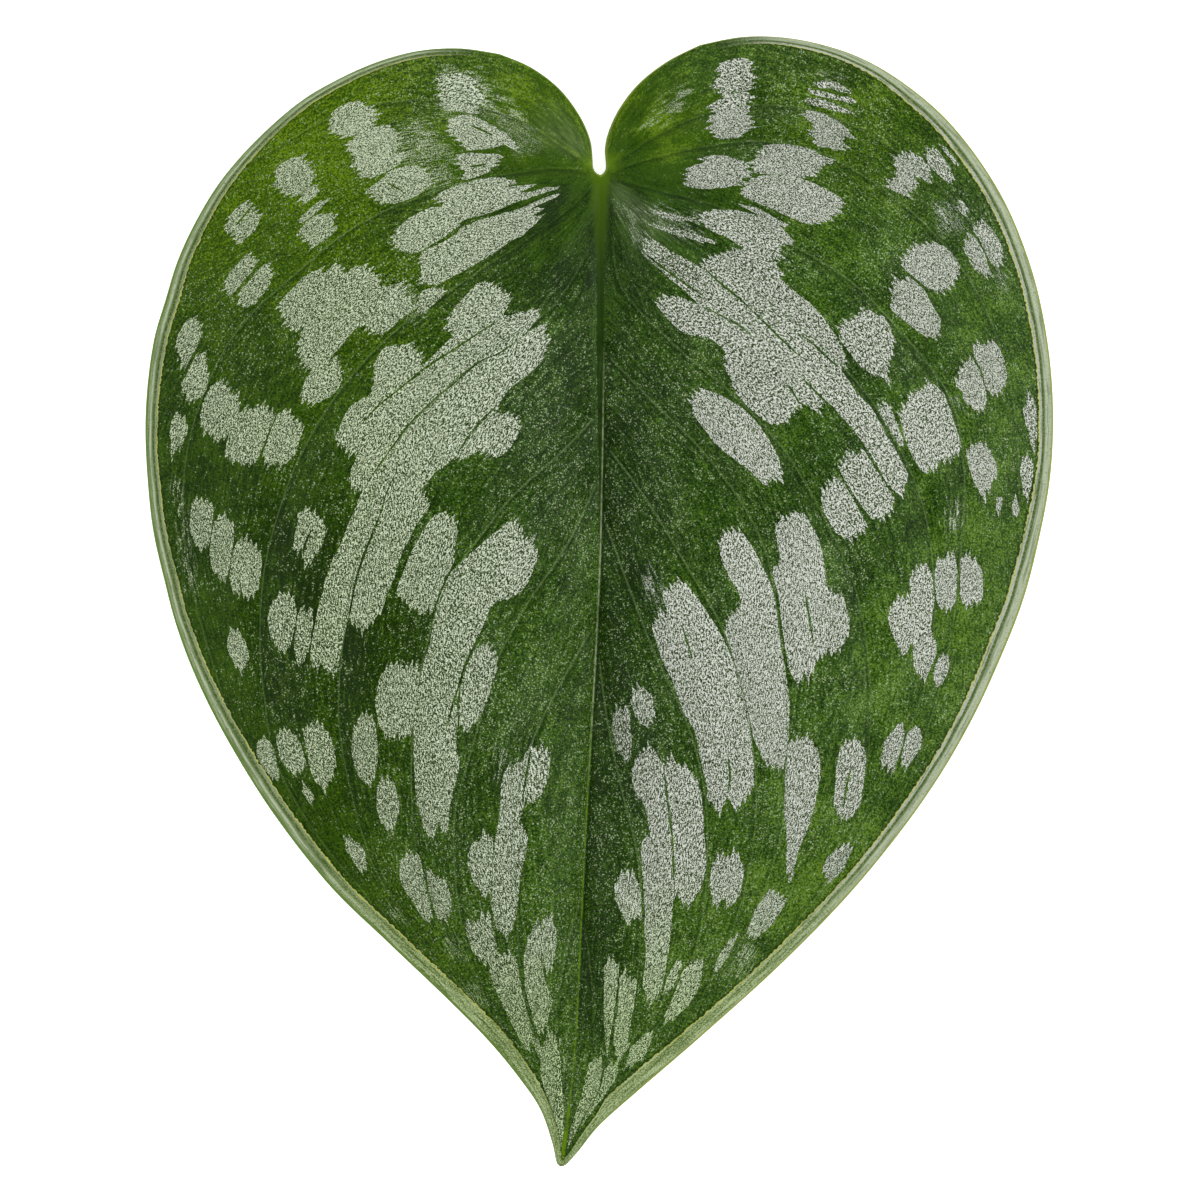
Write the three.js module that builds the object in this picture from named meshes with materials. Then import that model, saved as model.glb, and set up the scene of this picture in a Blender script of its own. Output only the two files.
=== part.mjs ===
import * as THREE from 'three';

// One leaf of a satin pothos, picked and lying upper side up on a flat surface.
// Millimetres, +Z up from the upper side, tip at -Y, lobes at +Y.
// The origin is under the middle of the outline, on the surface the leaf lies on.

// Driving dimensions of the blade
const LEAF_LENGTH = 100; // from the lobes to the tip
const BLADE = 0.8; // thickness, measured straight down
const ARCH = 0.125; // rise of each half above its edges, as a share of its width
const ARCH_LEAN = 0.85; // under 1 moves the crest of a half towards the midrib
const MIDRIB_LIE = 1.9; // height of the sunken midrib line where its keel rests
const BASE_RISE = 1.5; // how much higher the midrib line is where the stalk was
const TIP_DROOP_FROM_Y = -30; // from here to the tip the midrib line comes down to the surface
const MARGIN_LIFT = 2.0; // how far the margin lifts off the surface between its low points
const LOBE_LIFT = 0.5; // extra lift at the lobes, taken off towards the tip
const MARGIN_WAVES = 3; // the margin touches down at the tip and once on each side
const WAVE_CENTRE = new THREE.Vector2(0, -8);

// Side veins: sunk in the upper face, standing out underneath, fading out at the margin
const VEIN_GROOVE = 0.4;
const VEIN_GROOVE_WIDTH = 1.7;
const VEIN_RIDGE = 0.3;
const VEIN_RIDGE_WIDTH = 1.3;
const VEIN_FADE = 6;

// Midrib keel underneath, its resting flat and the scar of the stalk
const KEEL = 1.1;
const KEEL_AT_BASE = 1.5;
const KEEL_AT_TIP = 0.1;
const KEEL_WIDTH = 1.5;
const KEEL_WIDTH_AT_TIP = 0.5;
const REST_FROM_Y = -5;
const REST_TO_Y = 13;
const REST_HALF_WIDTH = 1;
const KEEL_LINE = 0.95; // the mesh has a line of points this far to each side of the midrib
const SCAR_DEPTH = 0.5;
const SCAR_RADIUS = 2.2;

// Spacing of the mesh's points
const STEP = 1.8;
const SINUS_STEP = 0.8;
const CLEAR = 0.66; // a point keeps this share of STEP to those set before it
const SCATTER = 0.12; // how far the points between are set off an even pattern
const SCATTER_TURNS = [2.4, 1.9]; // angle that the set-off turns by per row and column

// Outline, midrib and side veins, seen from above.
// Every side vein starts on the midrib or at its base and ends on the margin.
const MIDRIB = [
  [0.1, 37.7], [0.1, 28.6], [0.1, 19.0], [0.2, 12.2], [0.1, 4.7], [-0.3, -4.2],
  [-0.8, -13.0], [-1.3, -21.9], [-1.7, -30.7], [-2.1, -38.7], [-2.7, -44.9], [-3.5, -50.0],
];

const LEFT = {
  sinusEdge: [
    [0.1, 37.7], [-0.6, 38.9], [-0.8, 40.8], [-1.7, 42.9], [-3.5, 45.3], [-6.0, 47.2],
    [-8.8, 48.4],
  ],
  margin: [
    [-8.8, 48.4], [-12.3, 48.9], [-15.9, 48.7], [-19.4, 47.8], [-22.9, 46.3], [-26.5, 44.2],
    [-30.3, 40.9], [-33.4, 37.4], [-35.6, 33.9], [-37.3, 30.3], [-38.4, 26.8], [-39.4, 23.4],
    [-40.0, 19.3], [-40.2, 15.3], [-40.0, 10.9], [-39.5, 6.4], [-38.5, 2.0], [-37.3, -2.4],
    [-35.4, -7.2], [-32.7, -12.4], [-28.8, -18.6], [-23.8, -25.0], [-18.6, -30.1],
    [-13.3, -35.2], [-9.7, -38.9], [-7.0, -42.2], [-5.2, -44.9], [-4.1, -47.9], [-3.5, -50.0],
  ],
  veins: [
    [[0.1, 37.7], [-3.5, 40.4], [-7.9, 42.9], [-13.2, 44.2], [-18.5, 44.1], [-23.8, 42.7],
      [-28.7, 40.1], [-33.4, 37.4]],
    [[0.1, 37.7], [-3.5, 38.3], [-8.8, 37.6], [-15.0, 35.9], [-21.2, 33.2], [-26.5, 29.1],
      [-31.4, 24.6], [-34.4, 19.7], [-36.2, 14.4], [-36.8, 9.1], [-36.4, 3.8], [-35.3, -1.5],
      [-33.7, -6.8], [-30.9, -15.4]],
    [[0.1, 37.7], [-3.5, 34.0], [-10.6, 29.1], [-17.6, 24.1], [-22.5, 19.0], [-26.1, 13.3],
      [-28.0, 8.6], [-29.5, 2.9], [-29.9, -3.3], [-29.5, -8.6], [-28.4, -14.4],
      [-24.7, -20.8], [-20.7, -25.7], [-16.8, -31.8]],
    [[0.1, 33.0], [-3.5, 26.8], [-7.0, 23.9], [-10.6, 21.3], [-14.5, 17.7], [-17.6, 14.2],
      [-20.5, 7.3], [-22.0, 0.2], [-22.9, -10.4], [-20.7, -21.0], [-18.5, -25.7],
      [-14.1, -32.3], [-9.7, -38.9]],
    [[0.2, 17.0], [-3.5, 13.1], [-7.5, 9.5], [-10.9, 5.2], [-13.4, 1.6], [-15.0, -3.1],
      [-16.1, -8.6], [-16.5, -13.9], [-16.4, -19.2], [-15.7, -23.7], [-14.1, -28.1],
      [-11.9, -32.1], [-9.2, -36.1], [-6.3, -43.2]],
    [[0.1, 11.3], [-2.9, 5.0], [-6.4, -0.2], [-9.3, -5.9], [-11.0, -12.2], [-12.5, -17.5],
      [-12.8, -22.2], [-12.1, -28.5], [-9.9, -35.6], [-7.0, -40.5], [-4.8, -45.8]],
    [[-0.2, -1.5], [-3.5, -7.3], [-5.9, -12.2], [-7.1, -16.6], [-7.5, -20.1], [-7.3, -26.3],
      [-6.9, -33.8], [-5.7, -38.7], [-4.5, -43.1], [-3.9, -48.6]],
    [[-1.4, -25.4], [-2.9, -30.7], [-3.7, -36.1], [-3.9, -41.4], [-3.7, -49.4]],
  ],
};

const RIGHT = {
  sinusEdge: [
    [0.1, 37.7], [0.6, 38.7], [0.5, 40.2], [0.9, 41.8], [1.9, 43.8], [3.6, 45.9], [6.1, 47.8],
    [8.9, 49.2],
  ],
  margin: [
    [8.9, 49.2], [12.5, 49.9], [16.0, 49.9], [19.5, 49.3], [23.1, 48.1], [26.6, 46.1],
    [30.2, 43.2], [33.2, 39.7], [35.8, 35.6], [37.7, 31.2], [39.0, 26.8], [39.9, 21.5],
    [40.2, 16.2], [39.9, 10.9], [38.9, 5.5], [37.5, 0.2], [35.4, -5.1], [32.9, -10.4],
    [29.8, -15.7], [26.0, -21.0], [21.3, -26.6], [15.5, -32.5], [8.9, -38.5], [3.7, -43.0],
    [0.1, -46.2], [-1.7, -48.4], [-3.5, -50.0],
  ],
  veins: [
    [[0.1, 37.7], [4.5, 40.9], [8.9, 42.9], [14.2, 43.8], [19.5, 43.1], [24.4, 40.9],
      [28.8, 37.8], [32.6, 33.9], [35.6, 29.0], [38.9, 26.8]],
    [[0.1, 37.7], [4.0, 39.0], [8.9, 40.1], [14.2, 40.6], [19.1, 39.7], [23.3, 37.5],
      [27.5, 34.4], [31.2, 30.5], [34.1, 25.9], [36.0, 20.6], [36.9, 15.3], [37.1, 10.9],
      [37.4, 0.2]],
    [[0.1, 37.7], [5.4, 36.3], [11.6, 34.4], [17.3, 31.2], [22.2, 28.1], [26.6, 23.7],
      [30.6, 18.6], [31.9, 14.4], [32.2, 9.1], [31.9, 4.7], [31.4, -0.7], [30.4, -6.0],
      [28.8, -11.7], [26.6, -17.0], [21.3, -26.6]],
    [[0.1, 37.7], [3.6, 34.6], [8.9, 31.0], [14.2, 27.0], [19.5, 22.5], [23.8, 17.9],
      [27.1, 12.2], [28.8, 7.3], [29.5, 2.0], [29.4, -3.3], [28.6, -7.7], [27.1, -11.7],
      [25.3, -16.1], [22.2, -21.5], [16.4, -31.6]],
    [[0.1, 37.7], [1.1, 32.1], [2.2, 27.4], [7.1, 22.2], [11.5, 18.5], [16.3, 13.3],
      [20.7, 5.6], [22.9, -0.2], [23.8, -6.9], [23.7, -13.0], [22.7, -18.8], [20.6, -23.7],
      [17.3, -28.5], [12.9, -34.8]],
    [[0.2, 22.4], [4.5, 17.9], [8.9, 13.5], [12.6, 8.6], [14.7, 4.2], [15.6, -0.7],
      [16.3, -6.8], [16.5, -12.2], [16.3, -18.4], [15.1, -23.7], [12.5, -29.9], [6.8, -40.3]],
    [[0.2, 14.4], [4.0, 9.3], [7.7, 3.2], [10.9, -2.5], [12.8, -9.2], [13.7, -14.8],
      [13.7, -20.0], [13.0, -24.5], [11.6, -29.4], [8.9, -35.2], [3.7, -43.0]],
    [[0.2, 8.2], [2.2, 2.5], [4.9, -4.5], [7.8, -10.8], [9.2, -16.2], [9.5, -20.5],
      [9.3, -26.3], [8.2, -31.6], [6.1, -36.1], [3.6, -39.8], [0.1, -46.2]],
    [[-0.2, -3.3], [0.7, -10.4], [2.0, -16.6], [3.3, -21.9], [3.7, -26.3], [3.5, -31.6],
      [2.7, -36.1], [1.1, -40.5], [-1.7, -48.2]],
    [[-1.6, -26.3], [-0.8, -32.1], [-0.5, -36.9], [-0.9, -42.2], [-2.9, -49.4]],
  ],
};

// Curves and distances in the plane of the surface
const smoothCurve = (points) => {
  const curve = new THREE.SplineCurve(points.map(([x, y]) => new THREE.Vector2(x, y)));
  curve.arcLengthDivisions = 500;
  return curve;
};

const spaced = (curve, step) => curve.getSpacedPoints(Math.ceil(curve.getLength() / step));

function lineDistance(line, point) {
  let least = Infinity;
  for (let i = 1; i < line.length; i += 1) {
    const along = line[i].clone().sub(line[i - 1]);
    const reach = point.clone().sub(line[i - 1]);
    const share = THREE.MathUtils.clamp(reach.dot(along) / along.lengthSq(), 0, 1);
    least = Math.min(least, reach.sub(along.multiplyScalar(share)).length());
  }
  return least;
}

const midrib = smoothCurve(MIDRIB);
const midribLine = spaced(midrib, STEP);
const base = midribLine[0];
const tip = midribLine.at(-1);

const halves = [LEFT, RIGHT].map((half) => ({
  sinus: spaced(smoothCurve(half.sinusEdge), SINUS_STEP),
  margin: spaced(smoothCurve(half.margin), STEP),
  veins: half.veins.map((vein) => spaced(smoothCurve(vein), STEP)),
}));

const [left, right] = halves;
const veinLines = halves.flatMap((half) => half.veins);
const outline = [
  ...left.sinus.slice(0, -1), ...left.margin,
  ...right.margin.slice(0, -1).reverse(), ...right.sinus.slice(1, -1).reverse(),
];

function insideOutline(point) {
  let inside = false;
  outline.forEach((a, i) => {
    const b = outline[(i + 1) % outline.length];
    const crosses = (a.y > point.y) !== (b.y > point.y)
      && point.x < a.x + (b.x - a.x) * (point.y - a.y) / (b.y - a.y);
    if (crosses) inside = !inside;
  });
  return inside;
}

// How the leaf lies: height of its upper face and thickness under a point
const { lerp, smoothstep } = THREE.MathUtils;

const bell = (distance, width) => Math.exp(-((distance / width) ** 2));

const midribHeight = (y) => MIDRIB_LIE + BASE_RISE * smoothstep(y, REST_TO_Y, base.y)
  - (MIDRIB_LIE - BLADE) * smoothstep(-y, -TIP_DROOP_FROM_Y, -tip.y);

function marginHeight(point) {
  const { x, y } = point.clone().sub(WAVE_CENTRE);
  const angle = Math.atan2(y, x);
  const lift = MARGIN_LIFT + LOBE_LIFT * Math.sin(angle);
  return BLADE + lift * (1 - Math.cos(MARGIN_WAVES * (angle + Math.PI / 2))) / 2;
}

function measure(point) {
  const leftward = lineDistance(left.margin, point) < lineDistance(right.margin, point);
  const half = point.x < base.x && leftward ? left : right;
  const toMidrib = lineDistance(midribLine, point);
  const toSinus = lineDistance(half.sinus, point);
  const toMargin = lineDistance(half.margin, point);
  const toEdge = toSinus * toMargin / Math.max(Math.hypot(toSinus, toMargin), 1e-9);
  const width = Math.max(toMidrib + toEdge, 1e-9);
  const toVein = Math.min(...veinLines.map((line) => lineDistance(line, point)));
  return { toMidrib, toEdge, toVein, width, share: toMidrib / width };
}

function upperFace(point, { toEdge, toVein, width, share }) {
  const lie = lerp(midribHeight(point.y), marginHeight(point), share);
  const arch = ARCH * width * Math.sin(Math.PI * share ** ARCH_LEAN);
  const groove = VEIN_GROOVE * bell(toVein, VEIN_GROOVE_WIDTH) * smoothstep(toEdge, 0, VEIN_FADE);
  return lie + arch - groove;
}

function thickness(point, { toMidrib, toEdge, toVein }) {
  const tipward = smoothstep(-point.y, -REST_FROM_Y, -tip.y);
  const baseward = smoothstep(point.y, REST_TO_Y, base.y);
  const depth = lerp(lerp(KEEL, KEEL_AT_BASE, baseward), KEEL_AT_TIP, tipward);
  const keel = depth * bell(toMidrib, lerp(KEEL_WIDTH, KEEL_WIDTH_AT_TIP, tipward));
  const scar = SCAR_DEPTH * bell(point.distanceTo(base), SCAR_RADIUS);
  const ridge = VEIN_RIDGE * bell(toVein, VEIN_RIDGE_WIDTH) * smoothstep(toEdge, 0, VEIN_FADE);
  return BLADE + keel + scar + ridge;
}

const rests = (point, { toMidrib }) => (
  toMidrib < REST_HALF_WIDTH && point.y > REST_FROM_Y && point.y < REST_TO_Y
);

// Points of the mesh in plan: the outline, the midrib and its keel, the veins, then the rest
const points = [...outline];

function addPoint(point, room = CLEAR * STEP) {
  if (points.every((other) => other.distanceTo(point) > room)) points.push(point);
}

function scatterPoints() {
  midribLine.forEach((point) => addPoint(point, STEP / 3));
  [-KEEL_LINE, KEEL_LINE].forEach((aside) => {
    midribLine.map(({ x, y }) => new THREE.Vector2(x + aside, y)).filter(insideOutline)
      .forEach((point) => addPoint(point, KEEL_LINE * 0.9));
  });
  veinLines.forEach((line) => line.slice(1, -1).filter(insideOutline).forEach((point) => addPoint(point)));
  const rowHeight = STEP * Math.sqrt(3) / 2;
  const rows = Math.ceil(LEAF_LENGTH / 2 / rowHeight);
  const columns = Math.ceil(LEAF_LENGTH / 2 / STEP);
  for (let row = -rows; row < rows; row += 1) {
    for (let column = -columns; column < columns; column += 1) {
      const turn = row * SCATTER_TURNS[0] + column * SCATTER_TURNS[1];
      const point = new THREE.Vector2(
        (column + (row % 2) / 2) * STEP + SCATTER * Math.sin(turn),
        row * rowHeight + SCATTER * Math.cos(turn),
      );
      if (insideOutline(point)) addPoint(point);
    }
  }
}

// Delaunay triangles of the points, each turned counter-clockwise
function withCircle(all, a, b, c) {
  const [p, q, r] = [all[a], all[b], all[c]];
  const [bx, by, cx, cy] = [q.x - p.x, q.y - p.y, r.x - p.x, r.y - p.y];
  const doubled = 2 * (bx * cy - by * cx);
  const [bb, cc] = [bx * bx + by * by, cx * cx + cy * cy];
  const x = (cy * bb - by * cc) / doubled;
  const y = (bx * cc - cx * bb) / doubled;
  const corners = doubled > 0 ? [a, b, c] : [a, c, b];
  return { corners, x: x + p.x, y: y + p.y, reach: x * x + y * y };
}

function delaunay(scattered) {
  const far = 2000;
  const count = scattered.length;
  const all = [...scattered, new THREE.Vector2(-far, -far), new THREE.Vector2(far, -far),
    new THREE.Vector2(0, far)];
  let triangles = [withCircle(all, count, count + 1, count + 2)];
  scattered.forEach((point, index) => {
    const edges = new Map();
    triangles = triangles.filter((triangle) => {
      if ((point.x - triangle.x) ** 2 + (point.y - triangle.y) ** 2 >= triangle.reach) return true;
      triangle.corners.forEach((from, i) => {
        const to = triangle.corners[(i + 1) % 3];
        if (!edges.delete(`${to} ${from}`)) edges.set(`${from} ${to}`, [from, to]);
      });
      return false;
    });
    edges.forEach(([from, to]) => triangles.push(withCircle(all, from, to, index)));
  });
  return triangles.map(({ corners }) => corners).filter((corners) => Math.max(...corners) < count);
}

// The blade as one closed solid: upper face, the same face below turned over, and the rim
function leafGeometry() {
  scatterPoints();
  const positions = points.flatMap((point) => {
    const place = measure(point);
    const top = upperFace(point, place);
    const bottom = rests(point, place) ? 0 : Math.max(top - thickness(point, place), 0);
    return [point.x, point.y, top, point.x, point.y, bottom];
  });
  const triangles = [];
  const rim = new Map();
  delaunay(points).forEach((corners) => {
    const middle = new THREE.Vector2();
    corners.forEach((corner) => middle.addScaledVector(points[corner], 1 / 3));
    if (!insideOutline(middle)) return;
    const [a, b, c] = corners.map((corner) => corner * 2);
    triangles.push(a, b, c, a + 1, c + 1, b + 1);
    [[a, b], [b, c], [c, a]].forEach(([from, to]) => {
      if (!rim.delete(`${to} ${from}`)) rim.set(`${from} ${to}`, [from, to]);
    });
  });
  rim.forEach(([from, to]) => triangles.push(from, from + 1, to + 1, from, to + 1, to));
  const geometry = new THREE.BufferGeometry();
  geometry.setAttribute('position', new THREE.Float32BufferAttribute(positions, 3));
  geometry.setIndex(triangles);
  geometry.computeVertexNormals();
  return geometry;
}

const leafGreen = new THREE.MeshStandardMaterial({ color: 0x3c5f23, roughness: 0.55, metalness: 0 });
const leaf = new THREE.Mesh(leafGeometry(), leafGreen);
leaf.name = 'leaf';

const group = new THREE.Group();
group.add(leaf);

export default group;
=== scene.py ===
import math

import bpy
import numpy as np
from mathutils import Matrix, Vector, kdtree, noise
from mathutils.geometry import delaunay_2d_cdt


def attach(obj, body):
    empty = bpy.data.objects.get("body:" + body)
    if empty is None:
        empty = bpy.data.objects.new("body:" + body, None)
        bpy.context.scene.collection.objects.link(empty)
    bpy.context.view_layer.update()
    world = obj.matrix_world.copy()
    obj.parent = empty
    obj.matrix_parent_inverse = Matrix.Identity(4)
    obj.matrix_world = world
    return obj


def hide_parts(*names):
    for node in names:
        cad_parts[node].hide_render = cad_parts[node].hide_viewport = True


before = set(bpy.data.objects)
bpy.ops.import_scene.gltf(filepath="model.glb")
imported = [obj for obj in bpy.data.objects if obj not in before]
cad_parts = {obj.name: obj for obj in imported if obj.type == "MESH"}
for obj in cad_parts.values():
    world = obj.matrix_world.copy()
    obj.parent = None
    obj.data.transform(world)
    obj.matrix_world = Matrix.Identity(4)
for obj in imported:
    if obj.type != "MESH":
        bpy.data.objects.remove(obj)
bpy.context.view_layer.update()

# The plan of the blade.
# A leaf blade of a satin pothos grew as one heart-shaped piece of soft green tissue, with two lobes beside
# the notch where the stalk was, a midrib to the tip and side veins that arch to the margin.
MM = 0.001

# Points in millimetres seen from above, tip at -Y. Every vein starts at the midrib or its base.
MIDRIB = [
    (0.1, 37.7), (0.1, 28.6), (0.1, 19.0), (0.2, 12.2), (0.1, 4.7), (-0.3, -4.2), (-0.8, -13.0),
    (-1.3, -21.9), (-1.7, -30.7), (-2.1, -38.7), (-2.7, -44.9), (-3.4, -50.0)]
LEFT_NOTCH = [
    (0.1, 37.7), (-0.3, 37.9), (-0.55, 38.3), (-0.6, 39.2), (-0.8, 40.8), (-1.7, 42.9), (-3.5, 45.3),
    (-6.0, 47.2), (-8.8, 48.4)]
LEFT_MARGIN = [
    (-8.8, 48.4), (-12.3, 48.9), (-15.9, 48.7), (-19.4, 47.8), (-22.9, 46.3), (-26.5, 44.2),
    (-30.3, 40.9), (-33.4, 37.4), (-35.6, 33.9), (-37.3, 30.3), (-38.4, 26.8), (-39.4, 23.4),
    (-40.0, 19.3), (-40.2, 15.3), (-40.0, 10.9), (-39.5, 6.4), (-38.5, 2.0), (-37.3, -2.4),
    (-35.4, -7.2), (-32.7, -12.4), (-28.8, -18.6), (-23.8, -25.0), (-18.6, -30.1), (-13.3, -35.2),
    (-9.7, -38.9), (-7.0, -42.2), (-5.2, -44.9), (-4.15, -47.9), (-3.85, -49.4), (-3.65, -49.85),
    (-3.4, -50.0)]
LEFT_VEINS = [
    [(0.1, 37.7), (-3.5, 40.4), (-7.9, 42.9), (-13.2, 44.2), (-18.5, 44.1), (-23.8, 42.7),
     (-28.7, 40.1), (-33.4, 37.4)],
    [(0.1, 37.7), (-3.5, 38.3), (-8.8, 37.6), (-15.0, 35.9), (-21.2, 33.2), (-26.5, 29.1),
     (-31.4, 24.6), (-34.4, 19.7), (-36.2, 14.4), (-36.8, 9.1), (-36.4, 3.8), (-35.3, -1.5),
     (-33.7, -6.8), (-30.9, -15.4)],
    [(0.1, 37.7), (-3.5, 34.0), (-10.6, 29.1), (-17.6, 24.1), (-22.5, 19.0), (-26.1, 13.3),
     (-28.0, 8.6), (-29.5, 2.9), (-29.9, -3.3), (-29.5, -8.6), (-28.4, -14.4), (-24.7, -20.8),
     (-20.7, -25.7), (-16.8, -31.8)],
    [(0.1, 33.0), (-3.5, 26.8), (-7.0, 23.9), (-10.6, 21.3), (-14.5, 17.7), (-17.6, 14.2),
     (-20.5, 7.3), (-22.0, 0.2), (-22.9, -10.4), (-20.7, -21.0), (-18.5, -25.7), (-14.1, -32.3),
     (-9.7, -38.9)],
    [(0.2, 17.0), (-3.5, 13.1), (-7.5, 9.5), (-10.9, 5.2), (-13.4, 1.6), (-15.0, -3.1),
     (-16.1, -8.6), (-16.5, -13.9), (-16.4, -19.2), (-15.7, -23.7), (-14.1, -28.1),
     (-11.9, -32.1), (-9.2, -36.1), (-6.3, -43.2)],
    [(0.1, 11.3), (-2.9, 5.0), (-6.4, -0.2), (-9.3, -5.9), (-11.0, -12.2), (-12.5, -17.5),
     (-12.8, -22.2), (-12.1, -28.5), (-9.9, -35.6), (-7.0, -40.5), (-4.8, -45.8)],
    [(-0.2, -1.5), (-3.5, -7.3), (-5.9, -12.2), (-7.1, -16.6), (-7.5, -20.1), (-7.3, -26.3),
     (-6.9, -33.8), (-5.7, -38.7), (-4.5, -43.1), (-3.9, -48.6)],
    [(-1.4, -25.4), (-2.9, -30.7), (-3.7, -36.1), (-3.9, -41.4), (-3.7, -49.4)]]
RIGHT_NOTCH = [
    (0.1, 37.7), (0.4, 37.9), (0.6, 38.3), (0.55, 39.0), (0.5, 40.2), (0.9, 41.8), (1.9, 43.8),
    (3.6, 45.9), (6.1, 47.8), (8.9, 49.2)]
RIGHT_MARGIN = [
    (8.9, 49.2), (12.5, 49.9), (16.0, 49.9), (19.5, 49.3), (23.1, 48.1), (26.6, 46.1),
    (30.2, 43.2), (33.2, 39.7), (35.8, 35.6), (37.7, 31.2), (39.0, 26.8), (39.9, 21.5),
    (40.2, 16.2), (39.9, 10.9), (38.9, 5.5), (37.5, 0.2), (35.4, -5.1), (32.9, -10.4),
    (29.8, -15.7), (26.0, -21.0), (21.3, -26.6), (15.5, -32.5), (8.9, -38.5), (3.7, -43.0),
    (0.1, -46.2), (-1.7, -48.4), (-2.75, -49.6), (-3.1, -49.9), (-3.4, -50.0)]
RIGHT_VEINS = [
    [(0.1, 37.7), (4.5, 40.9), (8.9, 42.9), (14.2, 43.8), (19.5, 43.1), (24.4, 40.9), (28.8, 37.8),
     (32.6, 33.9), (35.6, 29.0), (38.9, 26.8)],
    [(0.1, 37.7), (4.0, 39.0), (8.9, 40.1), (14.2, 40.6), (19.1, 39.7), (23.3, 37.5), (27.5, 34.4),
     (31.2, 30.5), (34.1, 25.9), (36.0, 20.6), (36.9, 15.3), (37.1, 10.9), (37.4, 0.2)],
    [(0.1, 37.7), (5.4, 36.3), (11.6, 34.4), (17.3, 31.2), (22.2, 28.1), (26.6, 23.7),
     (30.6, 18.6), (31.9, 14.4), (32.2, 9.1), (31.9, 4.7), (31.4, -0.7), (30.4, -6.0),
     (28.8, -11.7), (26.6, -17.0), (21.3, -26.6)],
    [(0.1, 37.7), (3.6, 34.6), (8.9, 31.0), (14.2, 27.0), (19.5, 22.5), (23.8, 17.9), (27.1, 12.2),
     (28.8, 7.3), (29.5, 2.0), (29.4, -3.3), (28.6, -7.7), (27.1, -11.7), (25.3, -16.1),
     (22.2, -21.5), (16.4, -31.6)],
    [(0.1, 37.7), (1.1, 32.1), (2.2, 27.4), (7.1, 22.2), (11.5, 18.5), (16.3, 13.3), (20.7, 5.6),
     (22.9, -0.2), (23.8, -6.9), (23.7, -13.0), (22.7, -18.8), (20.6, -23.7), (17.3, -28.5),
     (12.9, -34.8)],
    [(0.2, 22.4), (4.5, 17.9), (8.9, 13.5), (12.6, 8.6), (14.7, 4.2), (15.6, -0.7), (16.3, -6.8),
     (16.5, -12.2), (16.3, -18.4), (15.1, -23.7), (12.5, -29.9), (6.8, -40.3)],
    [(0.2, 14.4), (4.0, 9.3), (7.7, 3.2), (10.9, -2.5), (12.8, -9.2), (13.7, -14.8),
     (13.7, -20.0), (13.0, -24.5), (11.6, -29.4), (8.9, -35.2), (3.7, -43.0)],
    [(0.2, 8.2), (2.2, 2.5), (4.9, -4.5), (7.8, -10.8), (9.2, -16.2), (9.5, -20.5), (9.3, -26.3),
     (8.2, -31.6), (6.1, -36.1), (3.6, -39.8), (0.1, -46.2)],
    [(-0.2, -3.3), (0.7, -10.4), (2.0, -16.6), (3.3, -21.9), (3.7, -26.3), (3.5, -31.6),
     (2.7, -36.1), (1.1, -40.5), (-1.7, -48.2)],
    [(-1.6, -26.3), (-0.8, -32.1), (-0.5, -36.9), (-0.9, -42.2), (-2.9, -49.4)]]


def resampled(line, step):
    """The same line with points an even step apart."""
    run = np.concatenate([[0], np.cumsum(np.hypot(*np.diff(line, axis=0).T))])
    places = np.linspace(0, run[-1], max(2, math.ceil(run[-1] / step)) + 1)
    return np.column_stack([np.interp(places, run, line[:, axis]) for axis in (0, 1)])


PARTS_OF_A_SPAN = 24


def smooth_line(points, step):
    """An even smooth curve through points."""
    p = np.array(points, dtype=float)
    before, after = np.vstack([p[:1], p[:-2]]), np.vstack([p[2:], p[-1:]])
    start, end = p[:-1], p[1:]
    leave, arrive = (end - before) / 2, (after - start) / 2
    dense = []
    for share in np.arange(1, PARTS_OF_A_SPAN + 1) / PARTS_OF_A_SPAN:
        dense.append((2 * start - 2 * end + leave + arrive) * share ** 3
                     + (3 * end - 3 * start - 2 * leave - arrive) * share ** 2 + leave * share + start)
    return resampled(np.vstack([start[:1], np.stack(dense, 1).reshape(-1, 2)]), step)


def along(line, places):
    """Distance from places to a line, its side (left is +), the run along it and its direction."""
    least = np.full(len(places), np.inf)
    side, run = np.ones(len(places)), np.zeros(len(places))
    direction = np.zeros((len(places), 2))
    covered = 0
    for start, step in zip(line[:-1], np.diff(line, axis=0)):
        length = math.hypot(*step)
        reach = places - start
        share = np.clip(reach @ step / length ** 2, 0, 1)
        gap = np.hypot(*(reach - share[:, None] * step).T)
        closer = gap < least
        least[closer] = gap[closer]
        side[closer] = np.where((step[0] * reach[:, 1] - step[1] * reach[:, 0])[closer] < 0, -1, 1)
        run[closer] = covered + share[closer] * length
        direction[closer] = step / length
        covered += length
    return least, side, run, direction


def inside(loop, places):
    """Which places lie inside a closed outline."""
    found = np.zeros(len(places), dtype=bool)
    near = np.all((places >= loop.min(0)) & (places <= loop.max(0)), axis=1)
    x, y = places[near].T
    hit = np.zeros(len(x), dtype=bool)
    for (ax, ay), (bx, by) in zip(loop, np.roll(loop, -1, axis=0)):
        if ay != by:
            hit ^= ((ay > y) != (by > y)) & (x < ax + (bx - ax) * (y - ay) / (by - ay))
    found[near] = hit
    return found


def smoothstep(value, low, high):
    share = np.clip((value - low) / (high - low), 0, 1)
    return share * share * (3 - 2 * share)


def bell(distance, width):
    return np.exp(-(distance / width) ** 2)


# The silver splashes.
# Air under the leaf's skin makes them look silver. Each one grew along the fine side veins: its long sides
# follow them, and its ends are cut across them in a comb of small teeth.
PIXEL_SIZE = 0.0885   # millimetres of leaf to a pixel
PIXEL_MIDDLE = (599.3, 602.6)   # pixel over the origin

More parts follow.
